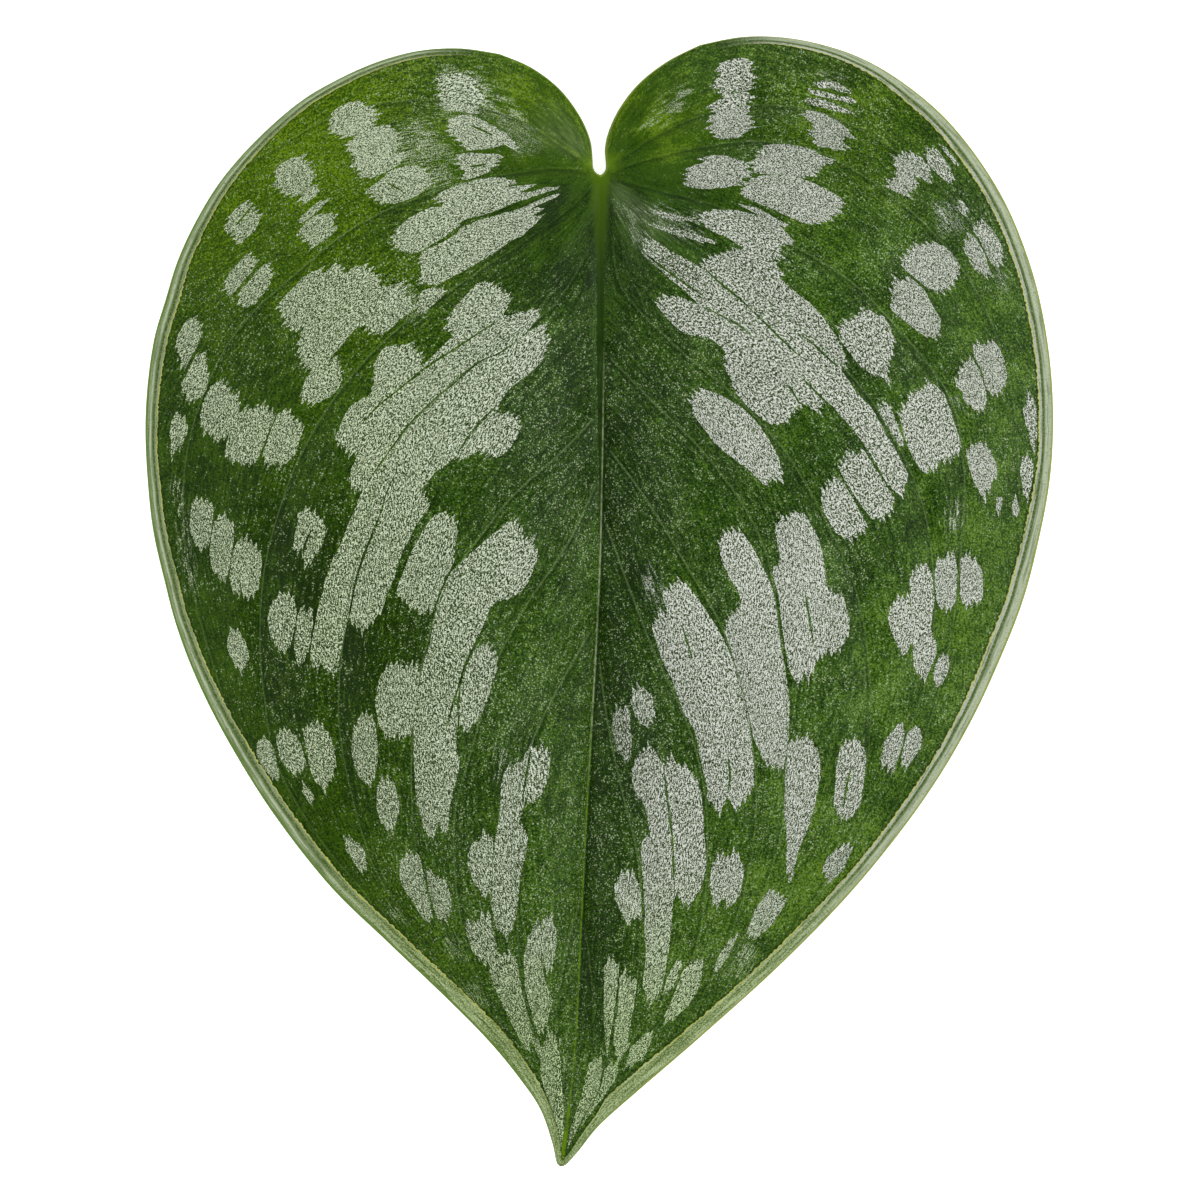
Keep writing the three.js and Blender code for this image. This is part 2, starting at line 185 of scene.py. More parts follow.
# Outlines as read from the 1200 pixel photograph, in its pixels, x right and y down.
SPLASHES_LEFT_RIM = [
    [(193, 316), (198, 318), (203, 335), (200, 345), (195, 352), (187, 368), (183, 366), (180, 358),
     (176, 344), (179, 335), (184, 325)],
    [(200, 353), (206, 353), (209, 370), (210, 380), (207, 392), (200, 400), (193, 401), (188, 398),
     (183, 392), (182, 385), (187, 375), (192, 365), (196, 357)],
    [(208, 395), (213, 386), (222, 382), (229, 388), (235, 394), (240, 398), (242, 405), (240, 415),
     (237, 425), (231, 435), (221, 441), (218, 444), (214, 436), (207, 432), (203, 425), (201, 418),
     (203, 405)],
    [(240, 414), (248, 409), (252, 413), (258, 407), (266, 407), (270, 412), (275, 410), (277, 420),
     (270, 435), (265, 448), (260, 460), (252, 467), (247, 462), (243, 467), (240, 460), (233, 464),
     (230, 456), (226, 458), (228, 445), (232, 430), (236, 420)],
    [(282, 412), (290, 411), (296, 420), (303, 423), (306, 430), (302, 440), (298, 455), (290, 462),
     (284, 466), (278, 463), (273, 468), (268, 462), (265, 455), (268, 445), (273, 432), (278, 420)],
    [(178, 409), (181, 417), (187, 420), (189, 430), (185, 441), (181, 450), (177, 445), (175, 452),
     (172, 465), (171, 441), (170, 430), (173, 420)],
    [(193, 502), (198, 498), (203, 500), (210, 503), (215, 508), (214, 520), (212, 535), (210, 546),
     (205, 548), (202, 554), (198, 545), (193, 538), (190, 525), (192, 510)],
    [(216, 520), (222, 516), (227, 514), (230, 520), (236, 523), (236, 535), (234, 550), (232, 565),
     (228, 578), (223, 582), (219, 576), (213, 568), (211, 555), (212, 540), (214, 528)],
    [(238, 543), (245, 537), (250, 541), (256, 544), (261, 550), (264, 562), (262, 575), (260, 590),
     (253, 596), (247, 598), (243, 592), (239, 594), (234, 590), (231, 578), (233, 560), (235, 550)],
    [(300, 515), (309, 507), (316, 512), (320, 517), (328, 524), (327, 537), (323, 549), (316, 558),
     (308, 567), (305, 560), (304, 548), (300, 553), (295, 547), (297, 535), (299, 525)],
    [(275, 600), (283, 592), (290, 594), (295, 598), (299, 610), (297, 625), (294, 640), (286, 654),
     (277, 645), (272, 635), (269, 620), (271, 608)],
    [(302, 608), (305, 604), (309, 612), (315, 610), (315, 620), (313, 635), (311, 650), (306, 660),
     (302, 665), (298, 660), (296, 645), (299, 618)],
    [(234, 627), (237, 633), (243, 635), (247, 642), (251, 655), (246, 668), (243, 671), (236, 666),
     (229, 650), (228, 640), (231, 632)],
    [(260, 736), (268, 737), (273, 745), (277, 755), (280, 770), (281, 780), (270, 775), (260, 762),
     (257, 752)],
    [(277, 735), (287, 727), (298, 735), (303, 745), (307, 758), (307, 768), (301, 770), (295, 773),
     (288, 768), (282, 760), (278, 745)],
    [(304, 728), (317, 722), (325, 725), (332, 735), (336, 748), (338, 763), (334, 775), (326, 790),
     (315, 778), (311, 765), (308, 750)],
    [(302, 788), (306, 784), (311, 788), (315, 795), (314, 805), (309, 800)],
    [(355, 725), (360, 720), (362, 713), (373, 715), (377, 722), (379, 740), (380, 755), (378, 770),
     (371, 786), (360, 775), (356, 765), (353, 750)],
    [(380, 778), (391, 778), (397, 785), (400, 795), (401, 810), (394, 830), (383, 823), (378, 808),
     (378, 795)],
    [(345, 845), (348, 835), (361, 842), (366, 850), (368, 862), (362, 872)]]
SPLASHES_LEFT_LOBE = [
    [(328, 128), (331, 121), (334, 113), (341, 108), (350, 104), (357, 103), (362, 102), (366, 107),
     (372, 109), (375, 114), (377, 120), (374, 127), (373, 130), (365, 134), (355, 138), (345, 141),
     (343, 137), (338, 138), (332, 133)],
    [(348, 152), (350, 146), (355, 140), (363, 134), (370, 131), (380, 129), (389, 128), (395, 132),
     (400, 137), (399, 143), (400, 150), (396, 157), (404, 155), (408, 156), (405, 162), (400, 168),
     (390, 174), (380, 179), (372, 182), (361, 180), (363, 175), (358, 172), (353, 168), (358, 162),
     (354, 157)],
    [(368, 194), (375, 188), (382, 184), (388, 177), (396, 172), (405, 170), (415, 169), (425, 172),
     (432, 178), (433, 184), (428, 192), (420, 198), (410, 203), (400, 206), (391, 207), (385, 206),
     (380, 203), (375, 199)],
    [(275, 180), (277, 172), (280, 166), (288, 162), (296, 159), (301, 158), (305, 162), (312, 168),
     (316, 175), (315, 184), (309, 191), (303, 195), (297, 200), (293, 196), (288, 198), (283, 191),
     (278, 190)],
    [(301, 204), (304, 196), (310, 190), (316, 187), (322, 190), (319, 198), (308, 206)],
    [(298, 227), (303, 219), (311, 212), (318, 206), (324, 202), (329, 204), (322, 212), (313, 220),
     (305, 225)],
    [(301, 234), (307, 226), (316, 219), (325, 216), (335, 217), (337, 222), (335, 228), (339, 232),
     (333, 238), (325, 244), (316, 250), (310, 246), (305, 242)],
    [(228, 226), (230, 218), (236, 210), (242, 206), (248, 202), (253, 208), (252, 213), (262, 216),
     (263, 219), (260, 224), (258, 231), (250, 238), (242, 246), (237, 243), (235, 236), (230, 232),
     (225, 234), (227, 229)],
    [(225, 285), (230, 275), (238, 267), (244, 260), (248, 256), (254, 257), (256, 262), (262, 260),
     (257, 268), (250, 277), (243, 286), (236, 294), (231, 298), (228, 293)],
    [(239, 298), (244, 290), (252, 282), (258, 274), (264, 268), (268, 265), (272, 267), (274, 276),
     (272, 285), (268, 293), (260, 300), (258, 306), (250, 308), (246, 310), (242, 304)],
    [(281, 305), (288, 297), (298, 287), (306, 279), (315, 274), (323, 271), (326, 276), (330, 272),
     (336, 267), (341, 267), (345, 274), (346, 280), (353, 272), (362, 268), (372, 274), (380, 278),
     (383, 285), (384, 290), (392, 289), (401, 285), (409, 291), (407, 298), (415, 303), (413, 312),
     (402, 322), (392, 332), (380, 338), (372, 332), (362, 327), (350, 340), (335, 358), (322, 370),
     (310, 372), (303, 360), (300, 347), (305, 331), (297, 333), (288, 326), (283, 315)],
    [(330, 361), (340, 362), (343, 370), (345, 380), (340, 392), (330, 400), (315, 406), (310, 402),
     (302, 400), (305, 390), (308, 380), (315, 372), (325, 365)],
    [(438, 80), (445, 77), (455, 76), (462, 75), (470, 79), (477, 84), (475, 89), (479, 93), (485, 99),
     (487, 103), (480, 106), (477, 112), (472, 117), (464, 114), (455, 114), (447, 113), (442, 108),
     (441, 102), (438, 98), (444, 94), (441, 90), (438, 88)],
    [(448, 128), (452, 122), (459, 118), (470, 118), (480, 121), (490, 127), (500, 133), (509, 138),
     (516, 147), (519, 156), (513, 152), (505, 147), (495, 151), (480, 153), (470, 154), (463, 150),
     (462, 143), (455, 140), (450, 134)],
    [(455, 158), (470, 156), (487, 157), (500, 157), (503, 159), (497, 166), (490, 175), (478, 180),
     (468, 183), (462, 181), (466, 176), (460, 171), (460, 163)],
    [(395, 245), (395, 238), (400, 230), (410, 222), (420, 216), (432, 211), (446, 209), (440, 204),
     (437, 199), (445, 194), (455, 189), (468, 185), (480, 182), (495, 180), (507, 181), (519, 185),
     (507, 190), (524, 188), (539, 186), (530, 191), (519, 196), (534, 194), (544, 190), (557, 189),
     (560, 191), (548, 194), (538, 198), (526, 202), (514, 206), (503, 211), (490, 216), (476, 220),
     (465, 223), (458, 231), (450, 238), (440, 244), (430, 250), (422, 255), (414, 257), (405, 255),
     (398, 250)],
    [(420, 278), (423, 272), (421, 264), (422, 256), (430, 252), (445, 245), (457, 237), (464, 229),
     (480, 223), (492, 220), (505, 216), (516, 213), (526, 209), (537, 204), (548, 199), (560, 195),
     (556, 200), (547, 204), (531, 211), (546, 210), (539, 215), (532, 218), (543, 218), (538, 224),
     (530, 231), (522, 239), (512, 243), (500, 252), (485, 262), (470, 271), (455, 279), (440, 287),
     (430, 288), (425, 285)],
    [(419, 300), (425, 293), (435, 290), (447, 291), (445, 298), (435, 307), (422, 317), (420, 310)]]
SPLASHES_LEFT_MIDDLE = [
    [(375, 376), (377, 362), (385, 351), (395, 347), (405, 348), (412, 345), (415, 352), (422, 357),
     (423, 368), (432, 361), (442, 350), (452, 341), (455, 335), (449, 330), (448, 323), (453, 314),
     (465, 300), (478, 286), (490, 284), (512, 300), (508, 310), (503, 320), (512, 317), (525, 313),
     (538, 311), (541, 315), (535, 325), (527, 334), (521, 340), (533, 331), (541, 326), (547, 325),
     (545, 335), (549, 343), (545, 354), (541, 364), (531, 374), (517, 385), (508, 393), (503, 400),
     (499, 407), (497, 414), (501, 416), (509, 414), (514, 418), (520, 420), (521, 430), (516, 440),
     (511, 449), (505, 455), (497, 459), (489, 456), (484, 450), (476, 454), (468, 459), (461, 461),
     (459, 456), (452, 462), (445, 468), (438, 472), (430, 482), (423, 492), (428, 499), (431, 507),
     (426, 515), (418, 525), (411, 540), (404, 553), (400, 563), (396, 578), (388, 597), (384, 610),
     (376, 620), (370, 625), (364, 632), (360, 627), (357, 622), (353, 625), (351, 617), (347, 632),
     (343, 650), (340, 665), (337, 674), (330, 672), (324, 666), (318, 668), (313, 662), (312, 655),
     (314, 640), (317, 625), (320, 608), (324, 595), (327, 580), (335, 560), (345, 540), (350, 525),
     (357, 510), (362, 497), (366, 487), (355, 492), (352, 480), (353, 470), (358, 460), (361, 451),
     (355, 455), (350, 451), (343, 447), (337, 440), (341, 430), (347, 416), (355, 405), (369, 399),
     (376, 390)],
    [(440, 514), (447, 512), (452, 520), (458, 521), (459, 533), (456, 546), (455, 562), (446, 580),
     (438, 600), (434, 611), (428, 607), (422, 616), (418, 605), (413, 610), (408, 600), (402, 600),
     (398, 590), (402, 580), (407, 567), (414, 550), (424, 532), (432, 520)],
    [(495, 533), (500, 530), (506, 525), (515, 520), (518, 526), (523, 531), (522, 539), (533, 540),
     (534, 547), (538, 550), (537, 562), (531, 577), (524, 590), (513, 597), (503, 600), (497, 602),
     (492, 605), (487, 618), (480, 635), (474, 645), (467, 665), (461, 685), (458, 700), (459, 722),
     (457, 745), (461, 762), (457, 780), (453, 795), (450, 812), (449, 826), (445, 833), (441, 823),
     (437, 826), (435, 838), (430, 830), (425, 829), (422, 815), (418, 800), (416, 775), (415, 750),
     (415, 730), (416, 712), (419, 690), (422, 670), (427, 655), (432, 640), (435, 620), (439, 602),
     (446, 585), (452, 572), (465, 560), (476, 550), (486, 541)],
    [(476, 648), (486, 645), (494, 650), (498, 657), (498, 668), (494, 680), (488, 700), (483, 712),
     (477, 720), (468, 731), (461, 722), (460, 712), (462, 685), (468, 665)],
    [(382, 675), (388, 667), (395, 665), (402, 661), (406, 667), (415, 665), (422, 670), (421, 685),
     (418, 700), (416, 715), (415, 728), (410, 733), (405, 739), (400, 732), (395, 738), (386, 733),
     (381, 725), (378, 712), (377, 700), (379, 688)]]
SPLASHES_LEFT_TIPWARD = [
    [(504, 772), (508, 765), (513, 767), (518, 758), (522, 764), (525, 755), (530, 745), (540, 748),
     (542, 741), (545, 752), (551, 750), (550, 765), (548, 780), (542, 792), (536, 800), (531, 803),
     (526, 797), (524, 805), (519, 822), (525, 827), (528, 835), (527, 850), (524, 862), (521, 875),
     (519, 890), (518, 905), (516, 918), (512, 928), (507, 938), (502, 930), (497, 928), (494, 915),
     (491, 900), (493, 880), (494, 850), (498, 825), (500, 815), (501, 800), (502, 785)],
    [(469, 850), (473, 843), (476, 837), (480, 842), (484, 828), (489, 834), (494, 835), (493, 870),
     (491, 890), (484, 898), (480, 888), (474, 880), (468, 860)],
    [(403, 855), (412, 852), (421, 855), (425, 875), (430, 900), (433, 912), (428, 922), (420, 912),
     (413, 900), (406, 890), (402, 880), (400, 868)],
    [(427, 866), (436, 874), (446, 878), (449, 885), (452, 900), (452, 910), (443, 921), (438, 918),
     (435, 908), (431, 895), (428, 880)],
    [(465, 925), (470, 918), (475, 922), (481, 915), (491, 913), (493, 925), (498, 948), (495, 960),
     (485, 962), (479, 958), (473, 950), (469, 940)],
    [(500, 952), (512, 952), (517, 960), (520, 975), (522, 990), (526, 1005), (529, 1020),
     (531, 1024), (533, 1034), (530, 1044), (526, 1050), (521, 1040), (515, 1030), (508, 1015),
     (501, 1000), (494, 985), (490, 970), (490, 960)],
    [(528, 935), (533, 928), (538, 916), (541, 925), (541, 960), (544, 975), (549, 990), (553, 1000),
     (550, 1010), (548, 1022), (538, 1033), (533, 1015), (528, 1000), (525, 985), (524, 955)],
    [(542, 920), (546, 915), (552, 918), (556, 928), (557, 940), (555, 955), (552, 968), (547, 970),
     (543, 962), (541, 945)],
    [(547, 1030), (556, 1034), (560, 1060), (562, 1080), (563, 1100), (564, 1120), (563, 1138),
     (560, 1152), (558, 1140), (556, 1124), (550, 1105), (544, 1088), (540, 1072), (541, 1060),
     (536, 1050), (531, 1038), (535, 1034), (540, 1042), (544, 1046)]]
SPLASHES_RIGHT_LOBE = [
    [(712, 89), (716, 82), (721, 77), (715, 72), (720, 66), (730, 62), (741, 60), (750, 63), (752, 68),
     (750, 75), (755, 79), (750, 86), (752, 90), (748, 93), (740, 95), (733, 93), (728, 98), (720, 99),
     (719, 93)],
    [(710, 108), (716, 103), (722, 101), (727, 97), (740, 94), (750, 97), (752, 101), (746, 105),
     (748, 110), (751, 114), (746, 117), (751, 122), (748, 128), (752, 130), (746, 134), (743, 138),
     (735, 141), (725, 142), (718, 143), (715, 138), (711, 134), (708, 130), (713, 125), (706, 121),
     (714, 117), (711, 112)],
    [(812, 86), (820, 83), (835, 84), (843, 89), (851, 95), (841, 95), (829, 91), (819, 91)],
    [(804, 91), (814, 93), (826, 95), (840, 99), (850, 100), (857, 106), (846, 105), (832, 102),
     (818, 99), (808, 96)],
    [(803, 101), (812, 101), (822, 102), (834, 107), (842, 111), (850, 112), (848, 116), (838, 115),
     (828, 112), (818, 110), (806, 107)],
    [(802, 113), (812, 114), (820, 115), (830, 120), (840, 126), (846, 133), (852, 139), (848, 141),
     (843, 139), (840, 142), (845, 149), (842, 153), (835, 154), (826, 150), (820, 151), (814, 148),
     (810, 143), (815, 141), (805, 136), (812, 134), (815, 130), (811, 127), (806, 122), (802, 118)],
    [(680, 186), (688, 182), (683, 179), (690, 174), (684, 173), (693, 168), (703, 166), (700, 161),
     (712, 158), (725, 159), (737, 163), (748, 168), (745, 174), (750, 178), (742, 182), (735, 189),
     (722, 191), (710, 192), (700, 192), (690, 190)],
    [(749, 164), (757, 160), (760, 152), (770, 147), (785, 147), (800, 150), (812, 153), (819, 158),
     (828, 161), (836, 164), (832, 166), (824, 167), (820, 171), (812, 176), (805, 181), (795, 181),
     (780, 179), (768, 178), (755, 177), (750, 174), (752, 168)],
    [(737, 195), (744, 189), (750, 182), (760, 179), (775, 179), (790, 180), (803, 183), (815, 188),
     (827, 194), (838, 200), (843, 207), (838, 214), (835, 219), (828, 219), (830, 225), (822, 222),
     (820, 226), (812, 228), (800, 226), (790, 221), (780, 217), (770, 212), (760, 208), (750, 204),
     (742, 200)],
    [(737, 207), (748, 209), (758, 212), (768, 218), (778, 224), (790, 229), (780, 229), (768, 224),
     (756, 218), (745, 212)],
    [(700, 223), (700, 215), (713, 213), (735, 213), (750, 217), (765, 221), (777, 227), (783, 234),
     (788, 239), (793, 246), (788, 247), (780, 248), (777, 253), (780, 258), (778, 262), (770, 262),
     (760, 259), (748, 254), (738, 248), (727, 241), (715, 236), (705, 231)],
    [(890, 163), (897, 159), (901, 157), (906, 155), (909, 153), (912, 155), (920, 159), (924, 164),
     (928, 168), (930, 174), (928, 176), (928, 180), (925, 184), (922, 181), (917, 178), (913, 178),
     (914, 181), (916, 187), (915, 192), (909, 192), (907, 196), (909, 200), (904, 199), (898, 196),
     (892, 194), (885, 191), (887, 184), (892, 180), (897, 177), (894, 171)],
    [(924, 156), (926, 152), (930, 148), (934, 150), (938, 153), (943, 160), (948, 168), (951, 175),
     (953, 181), (950, 185), (945, 183), (938, 177), (932, 172), (926, 164)],
    [(938, 146), (944, 148), (950, 155), (955, 162), (958, 168), (955, 167), (950, 161), (944, 154)],
    [(958, 200), (962, 203), (965, 208), (969, 211), (966, 214), (959, 215), (958, 207)],
    [(938, 209), (941, 214), (947, 223), (944, 225), (938, 214)],
    [(898, 266), (903, 258), (909, 251), (914, 247), (920, 248), (928, 244), (940, 246), (950, 254),
     (957, 264), (958, 272), (952, 284), (945, 291), (935, 294), (925, 290), (915, 282), (907, 276),
     (902, 272)],
    [(886, 303), (890, 296), (891, 290), (890, 285), (897, 281), (903, 284), (905, 278), (912, 283),
     (922, 292), (927, 302), (933, 312), (938, 320), (939, 330), (932, 340), (922, 338), (914, 332),
     (905, 325), (896, 318), (888, 311)],
    [(970, 231), (975, 227), (980, 222), (986, 224), (992, 231), (997, 239), (1001, 246), (1003, 256),
     (1000, 262), (995, 267), (991, 266), (988, 260), (984, 253), (980, 244), (978, 238), (973, 234)],
    [(967, 235), (972, 237), (976, 241), (979, 247), (983, 254), (986, 263), (989, 272), (993, 279),
     (989, 276), (984, 274), (980, 275), (975, 272), (969, 266), (975, 265), (970, 261), (964, 256),
     (962, 250), (963, 246), (967, 243)]]
SPLASHES_RIGHT_RIM = [
    [(971, 354), (972, 350), (977, 345), (979, 343), (982, 347), (988, 342), (992, 343), (997, 346),
     (1000, 352), (1003, 360), (1005, 370), (1006, 378), (1004, 386), (1001, 390), (1000, 396),
     (997, 392), (994, 396), (990, 394), (986, 392), (983, 384), (981, 374), (977, 366), (973, 359)],
    [(964, 359), (969, 359), (974, 365), (979, 374), (982, 384), (985, 393), (985, 400), (984, 406),
     (981, 413), (977, 408), (975, 413), (970, 408), (964, 403), (961, 399), (961, 393), (955, 388),
     (954, 384), (957, 378), (957, 372), (960, 371), (961, 364)],
    [(974, 441), (978, 440), (980, 445), (985, 447), (989, 452), (993, 459), (996, 470), (995, 482),
     (993, 478), (990, 485), (988, 494), (985, 488), (984, 495), (985, 502), (981, 498), (978, 492),
     (975, 486), (971, 480), (970, 475), (967, 465), (964, 455), (967, 450), (973, 449)],
    [(1028, 391), (1031, 396), (1034, 401), (1036, 410), (1037, 420), (1037, 432), (1034, 449),
     (1031, 448), (1029, 438), (1028, 430), (1025, 424), (1024, 418), (1022, 410), (1025, 405),
     (1026, 398)],
    [(1026, 453), (1029, 458), (1033, 464), (1033, 475), (1030, 490), (1027, 500), (1023, 495),
     (1022, 485), (1019, 472), (1021, 462), (1023, 457)],
    [(996, 495), (1000, 496), (1002, 502), (1000, 510), (997, 514), (995, 508)],
    [(1011, 501), (1017, 502), (1019, 510), (1016, 519), (1012, 514)],
    [(959, 562), (961, 556), (969, 555), (970, 560), (976, 562), (980, 568), (982, 580), (982, 595),
     (979, 603), (976, 600), (970, 603), (966, 608), (963, 603), (959, 598), (959, 580)],
    [(933, 575), (935, 560), (938, 557), (941, 560), (947, 555), (953, 556), (956, 566), (956, 580),
     (955, 598), (953, 605), (947, 610), (942, 606), (939, 611), (936, 603), (934, 595)],
    [(907, 580), (910, 573), (922, 564), (928, 568), (931, 580), (933, 600), (929, 630), (936, 645),
     (935, 655), (925, 678), (921, 680), (912, 668), (910, 610)],
    [(888, 608), (896, 598), (908, 598), (912, 625), (912, 640), (902, 657), (894, 642), (886, 622)],
    [(938, 655), (944, 654), (949, 660), (947, 672), (940, 684), (936, 688), (932, 680), (934, 665)],
    [(883, 738), (894, 727), (899, 721), (904, 728), (901, 745), (893, 770), (884, 765), (879, 764)],
    [(907, 730), (917, 725), (921, 735), (920, 748), (905, 768), (899, 758)],
    [(838, 750), (843, 743), (853, 737), (863, 747), (865, 760), (861, 790), (859, 805), (848, 818),
     (838, 815), (832, 800), (835, 765)]]
SPLASHES_RIGHT_MIDDLE = [
    [(640, 250), (650, 240), (660, 246), (672, 255), (685, 261), (700, 270), (703, 263), (715, 258),
     (724, 256), (733, 252), (745, 251), (758, 255), (770, 261), (776, 268), (780, 276), (780, 283),
     (788, 290), (797, 298), (808, 306), (818, 316), (828, 330), (835, 340), (845, 362), (843, 367),
     (838, 370), (855, 395), (870, 410), (880, 428), (890, 445), (900, 462), (907, 477), (902, 488),
     (898, 497), (885, 485), (877, 470), (868, 455), (860, 443), (850, 430), (838, 417), (828, 405),
     (822, 402), (815, 414), (803, 405), (793, 410), (790, 418), (783, 424), (771, 427), (757, 418),
     (748, 410), (741, 402), (735, 395), (730, 382), (724, 370), (725, 360), (722, 352), (712, 342),
     (702, 338), (690, 337), (680, 333), (668, 322), (657, 308), (662, 300), (675, 298), (690, 303),
     (700, 309), (688, 297), (680, 290), (668, 280), (655, 268), (642, 256)],
    [(690, 408), (693, 398), (698, 393), (705, 391), (722, 398), (742, 410), (752, 420), (760, 430),
     (768, 442), (775, 455), (781, 472), (779, 480), (768, 480), (763, 487), (757, 480), (746, 470),
     (733, 460), (722, 452), (713, 443), (705, 433), (697, 422)],
    [(875, 411), (882, 405), (888, 404), (893, 420), (902, 443), (900, 450), (895, 443), (888, 433),
     (882, 423)],
    [(836, 330), (850, 322), (858, 313), (865, 311), (875, 317), (884, 320), (891, 338), (891, 350),
     (889, 360), (883, 370), (890, 392), (880, 378), (873, 378), (858, 368), (850, 358), (838, 343)],
    [(898, 412), (905, 405), (907, 397), (922, 387), (930, 384), (942, 395), (950, 415), (958, 440),
     (960, 448), (952, 458), (938, 462), (935, 468), (928, 468), (923, 475), (912, 462), (903, 440),
     (897, 418)],
    [(837, 470), (846, 455), (856, 455), (862, 451), (872, 468), (880, 480), (893, 500), (887, 512),
     (880, 520), (868, 518), (855, 500), (843, 482)],
    [(818, 495), (828, 485), (833, 479), (840, 482), (850, 498), (861, 518), (866, 527), (856, 533),
     (846, 541), (834, 533), (823, 515)],
    [(613, 718), (617, 708), (629, 710), (632, 745), (628, 762), (617, 752), (612, 728)],
    [(647, 210), (660, 213), (672, 217), (684, 220), (697, 220), (684, 224), (670, 223), (657, 218)],
    [(646, 226), (660, 228), (676, 231), (690, 235), (704, 240), (718, 246), (702, 245), (688, 241),
     (674, 237), (660, 232)]]
SPLASHES_RIGHT_TIPWARD = [
    [(661, 590), (670, 592), (672, 585), (675, 579), (685, 583), (692, 592), (700, 602), (708, 615),
     (715, 625), (722, 638), (730, 655), (736, 670), (741, 690), (745, 705), (748, 720), (752, 750),
     (753, 785), (748, 792), (742, 796), (738, 806), (733, 808), (730, 800), (728, 795), (724, 800),
     (720, 810), (716, 812), (713, 803), (706, 796), (707, 788), (704, 775), (700, 760), (698, 745),
     (694, 730), (688, 720), (682, 710), (678, 698), (672, 680), (666, 668), (660, 655), (656, 640),
     (652, 630), (652, 622), (657, 620), (659, 610), (667, 614), (664, 603)],
    [(634, 690), (640, 687), (646, 690), (652, 695), (655, 715), (651, 722), (645, 727), (636, 717),
     (630, 700)],
    [(636, 757), (645, 749), (650, 746), (656, 752), (662, 764), (667, 762), (672, 755), (676, 763),
     (686, 764), (690, 772), (697, 780), (700, 790), (702, 805), (703, 825), (706, 860), (703, 880),
     (698, 890), (688, 907), (685, 898), (683, 905), (680, 895), (673, 892), (671, 925), (669, 945),
     (666, 965), (663, 980), (660, 990), (655, 1000), (650, 998), (642, 985), (645, 965), (646, 950),
     (644, 930), (645, 910), (642, 870), (641, 850), (643, 838), (646, 833), (650, 836), (648, 820),
     (645, 805), (640, 797), (635, 792), (632, 780), (632, 770)],
    [(718, 545), (721, 535), (728, 533), (740, 532), (750, 545), (762, 568), (768, 580), (775, 600),
     (777, 615), (780, 640), (783, 660), (786, 680), (788, 700), (788, 720), (787, 740), (783, 762),
     (779, 769), (773, 762), (766, 765), (757, 748), (752, 735), (748, 715), (743, 695), (738, 675),
     (733, 660), (728, 645), (724, 632), (726, 620), (733, 612), (741, 606), (737, 592), (727, 575),
     (720, 560)],
    [(776, 520), (781, 516), (785, 522), (790, 512), (800, 513), (806, 518), (812, 530), (817, 540),
     (821, 555), (823, 570), (826, 590), (842, 597), (848, 620), (847, 635), (838, 650), (830, 654),
     (826, 648), (821, 655), (814, 655), (814, 665), (806, 680), (803, 672), (796, 685), (788, 670),
     (785, 655), (782, 635), (779, 612), (776, 590), (769, 572), (780, 562), (777, 550), (773, 530)],
    [(786, 742), (797, 738), (808, 736), (816, 750), (819, 760), (819, 775), (813, 805), (809, 820),
     (804, 832), (797, 850), (790, 880), (785, 865), (786, 838), (783, 810), (784, 770)],
    [(712, 860), (722, 853), (728, 857), (733, 847), (741, 860), (743, 870), (740, 892), (731, 905),
     (722, 896), (717, 905), (711, 895), (709, 880)],
    [(827, 855), (838, 847), (845, 843), (851, 848), (843, 868), (828, 883), (822, 865)],
    [(755, 907), (770, 887), (780, 895), (784, 903), (773, 922), (757, 936), (745, 935), (750, 920)],
    [(718, 955), (728, 940), (738, 933), (728, 955), (718, 970), (712, 972)],
    [(667, 975), (678, 956), (682, 962), (674, 985), (662, 995)],
    [(683, 968), (697, 958), (703, 962), (700, 985), (688, 1005), (672, 1020), (663, 1018), (676, 988)],
    [(614, 885), (618, 876), (624, 871), (634, 873), (641, 890), (642, 918), (632, 918), (628, 925),
     (620, 908), (615, 898)],
    [(604, 965), (609, 957), (619, 962), (617, 990), (611, 1030), (607, 1058), (604, 1020)],
    [(620, 972), (626, 970), (630, 980), (637, 978), (634, 1005), (628, 1035), (630, 1045),
     (618, 1062), (613, 1040), (618, 1000)],
    [(630, 1048), (643, 1034), (650, 1030), (653, 1036), (645, 1055), (630, 1068), (626, 1065)],
    [(590, 1060), (601, 1055), (603, 1066), (600, 1084), (595, 1098), (587, 1109), (580, 1124),
     (573, 1138), (567, 1150), (570, 1130), (576, 1112), (581, 1098), (586, 1076)],
    [(605, 1066), (618, 1062), (617, 1076), (608, 1090), (600, 1101), (590, 1114), (581, 1127),
     (583, 1121), (589, 1108), (597, 1097), (602, 1083)]]

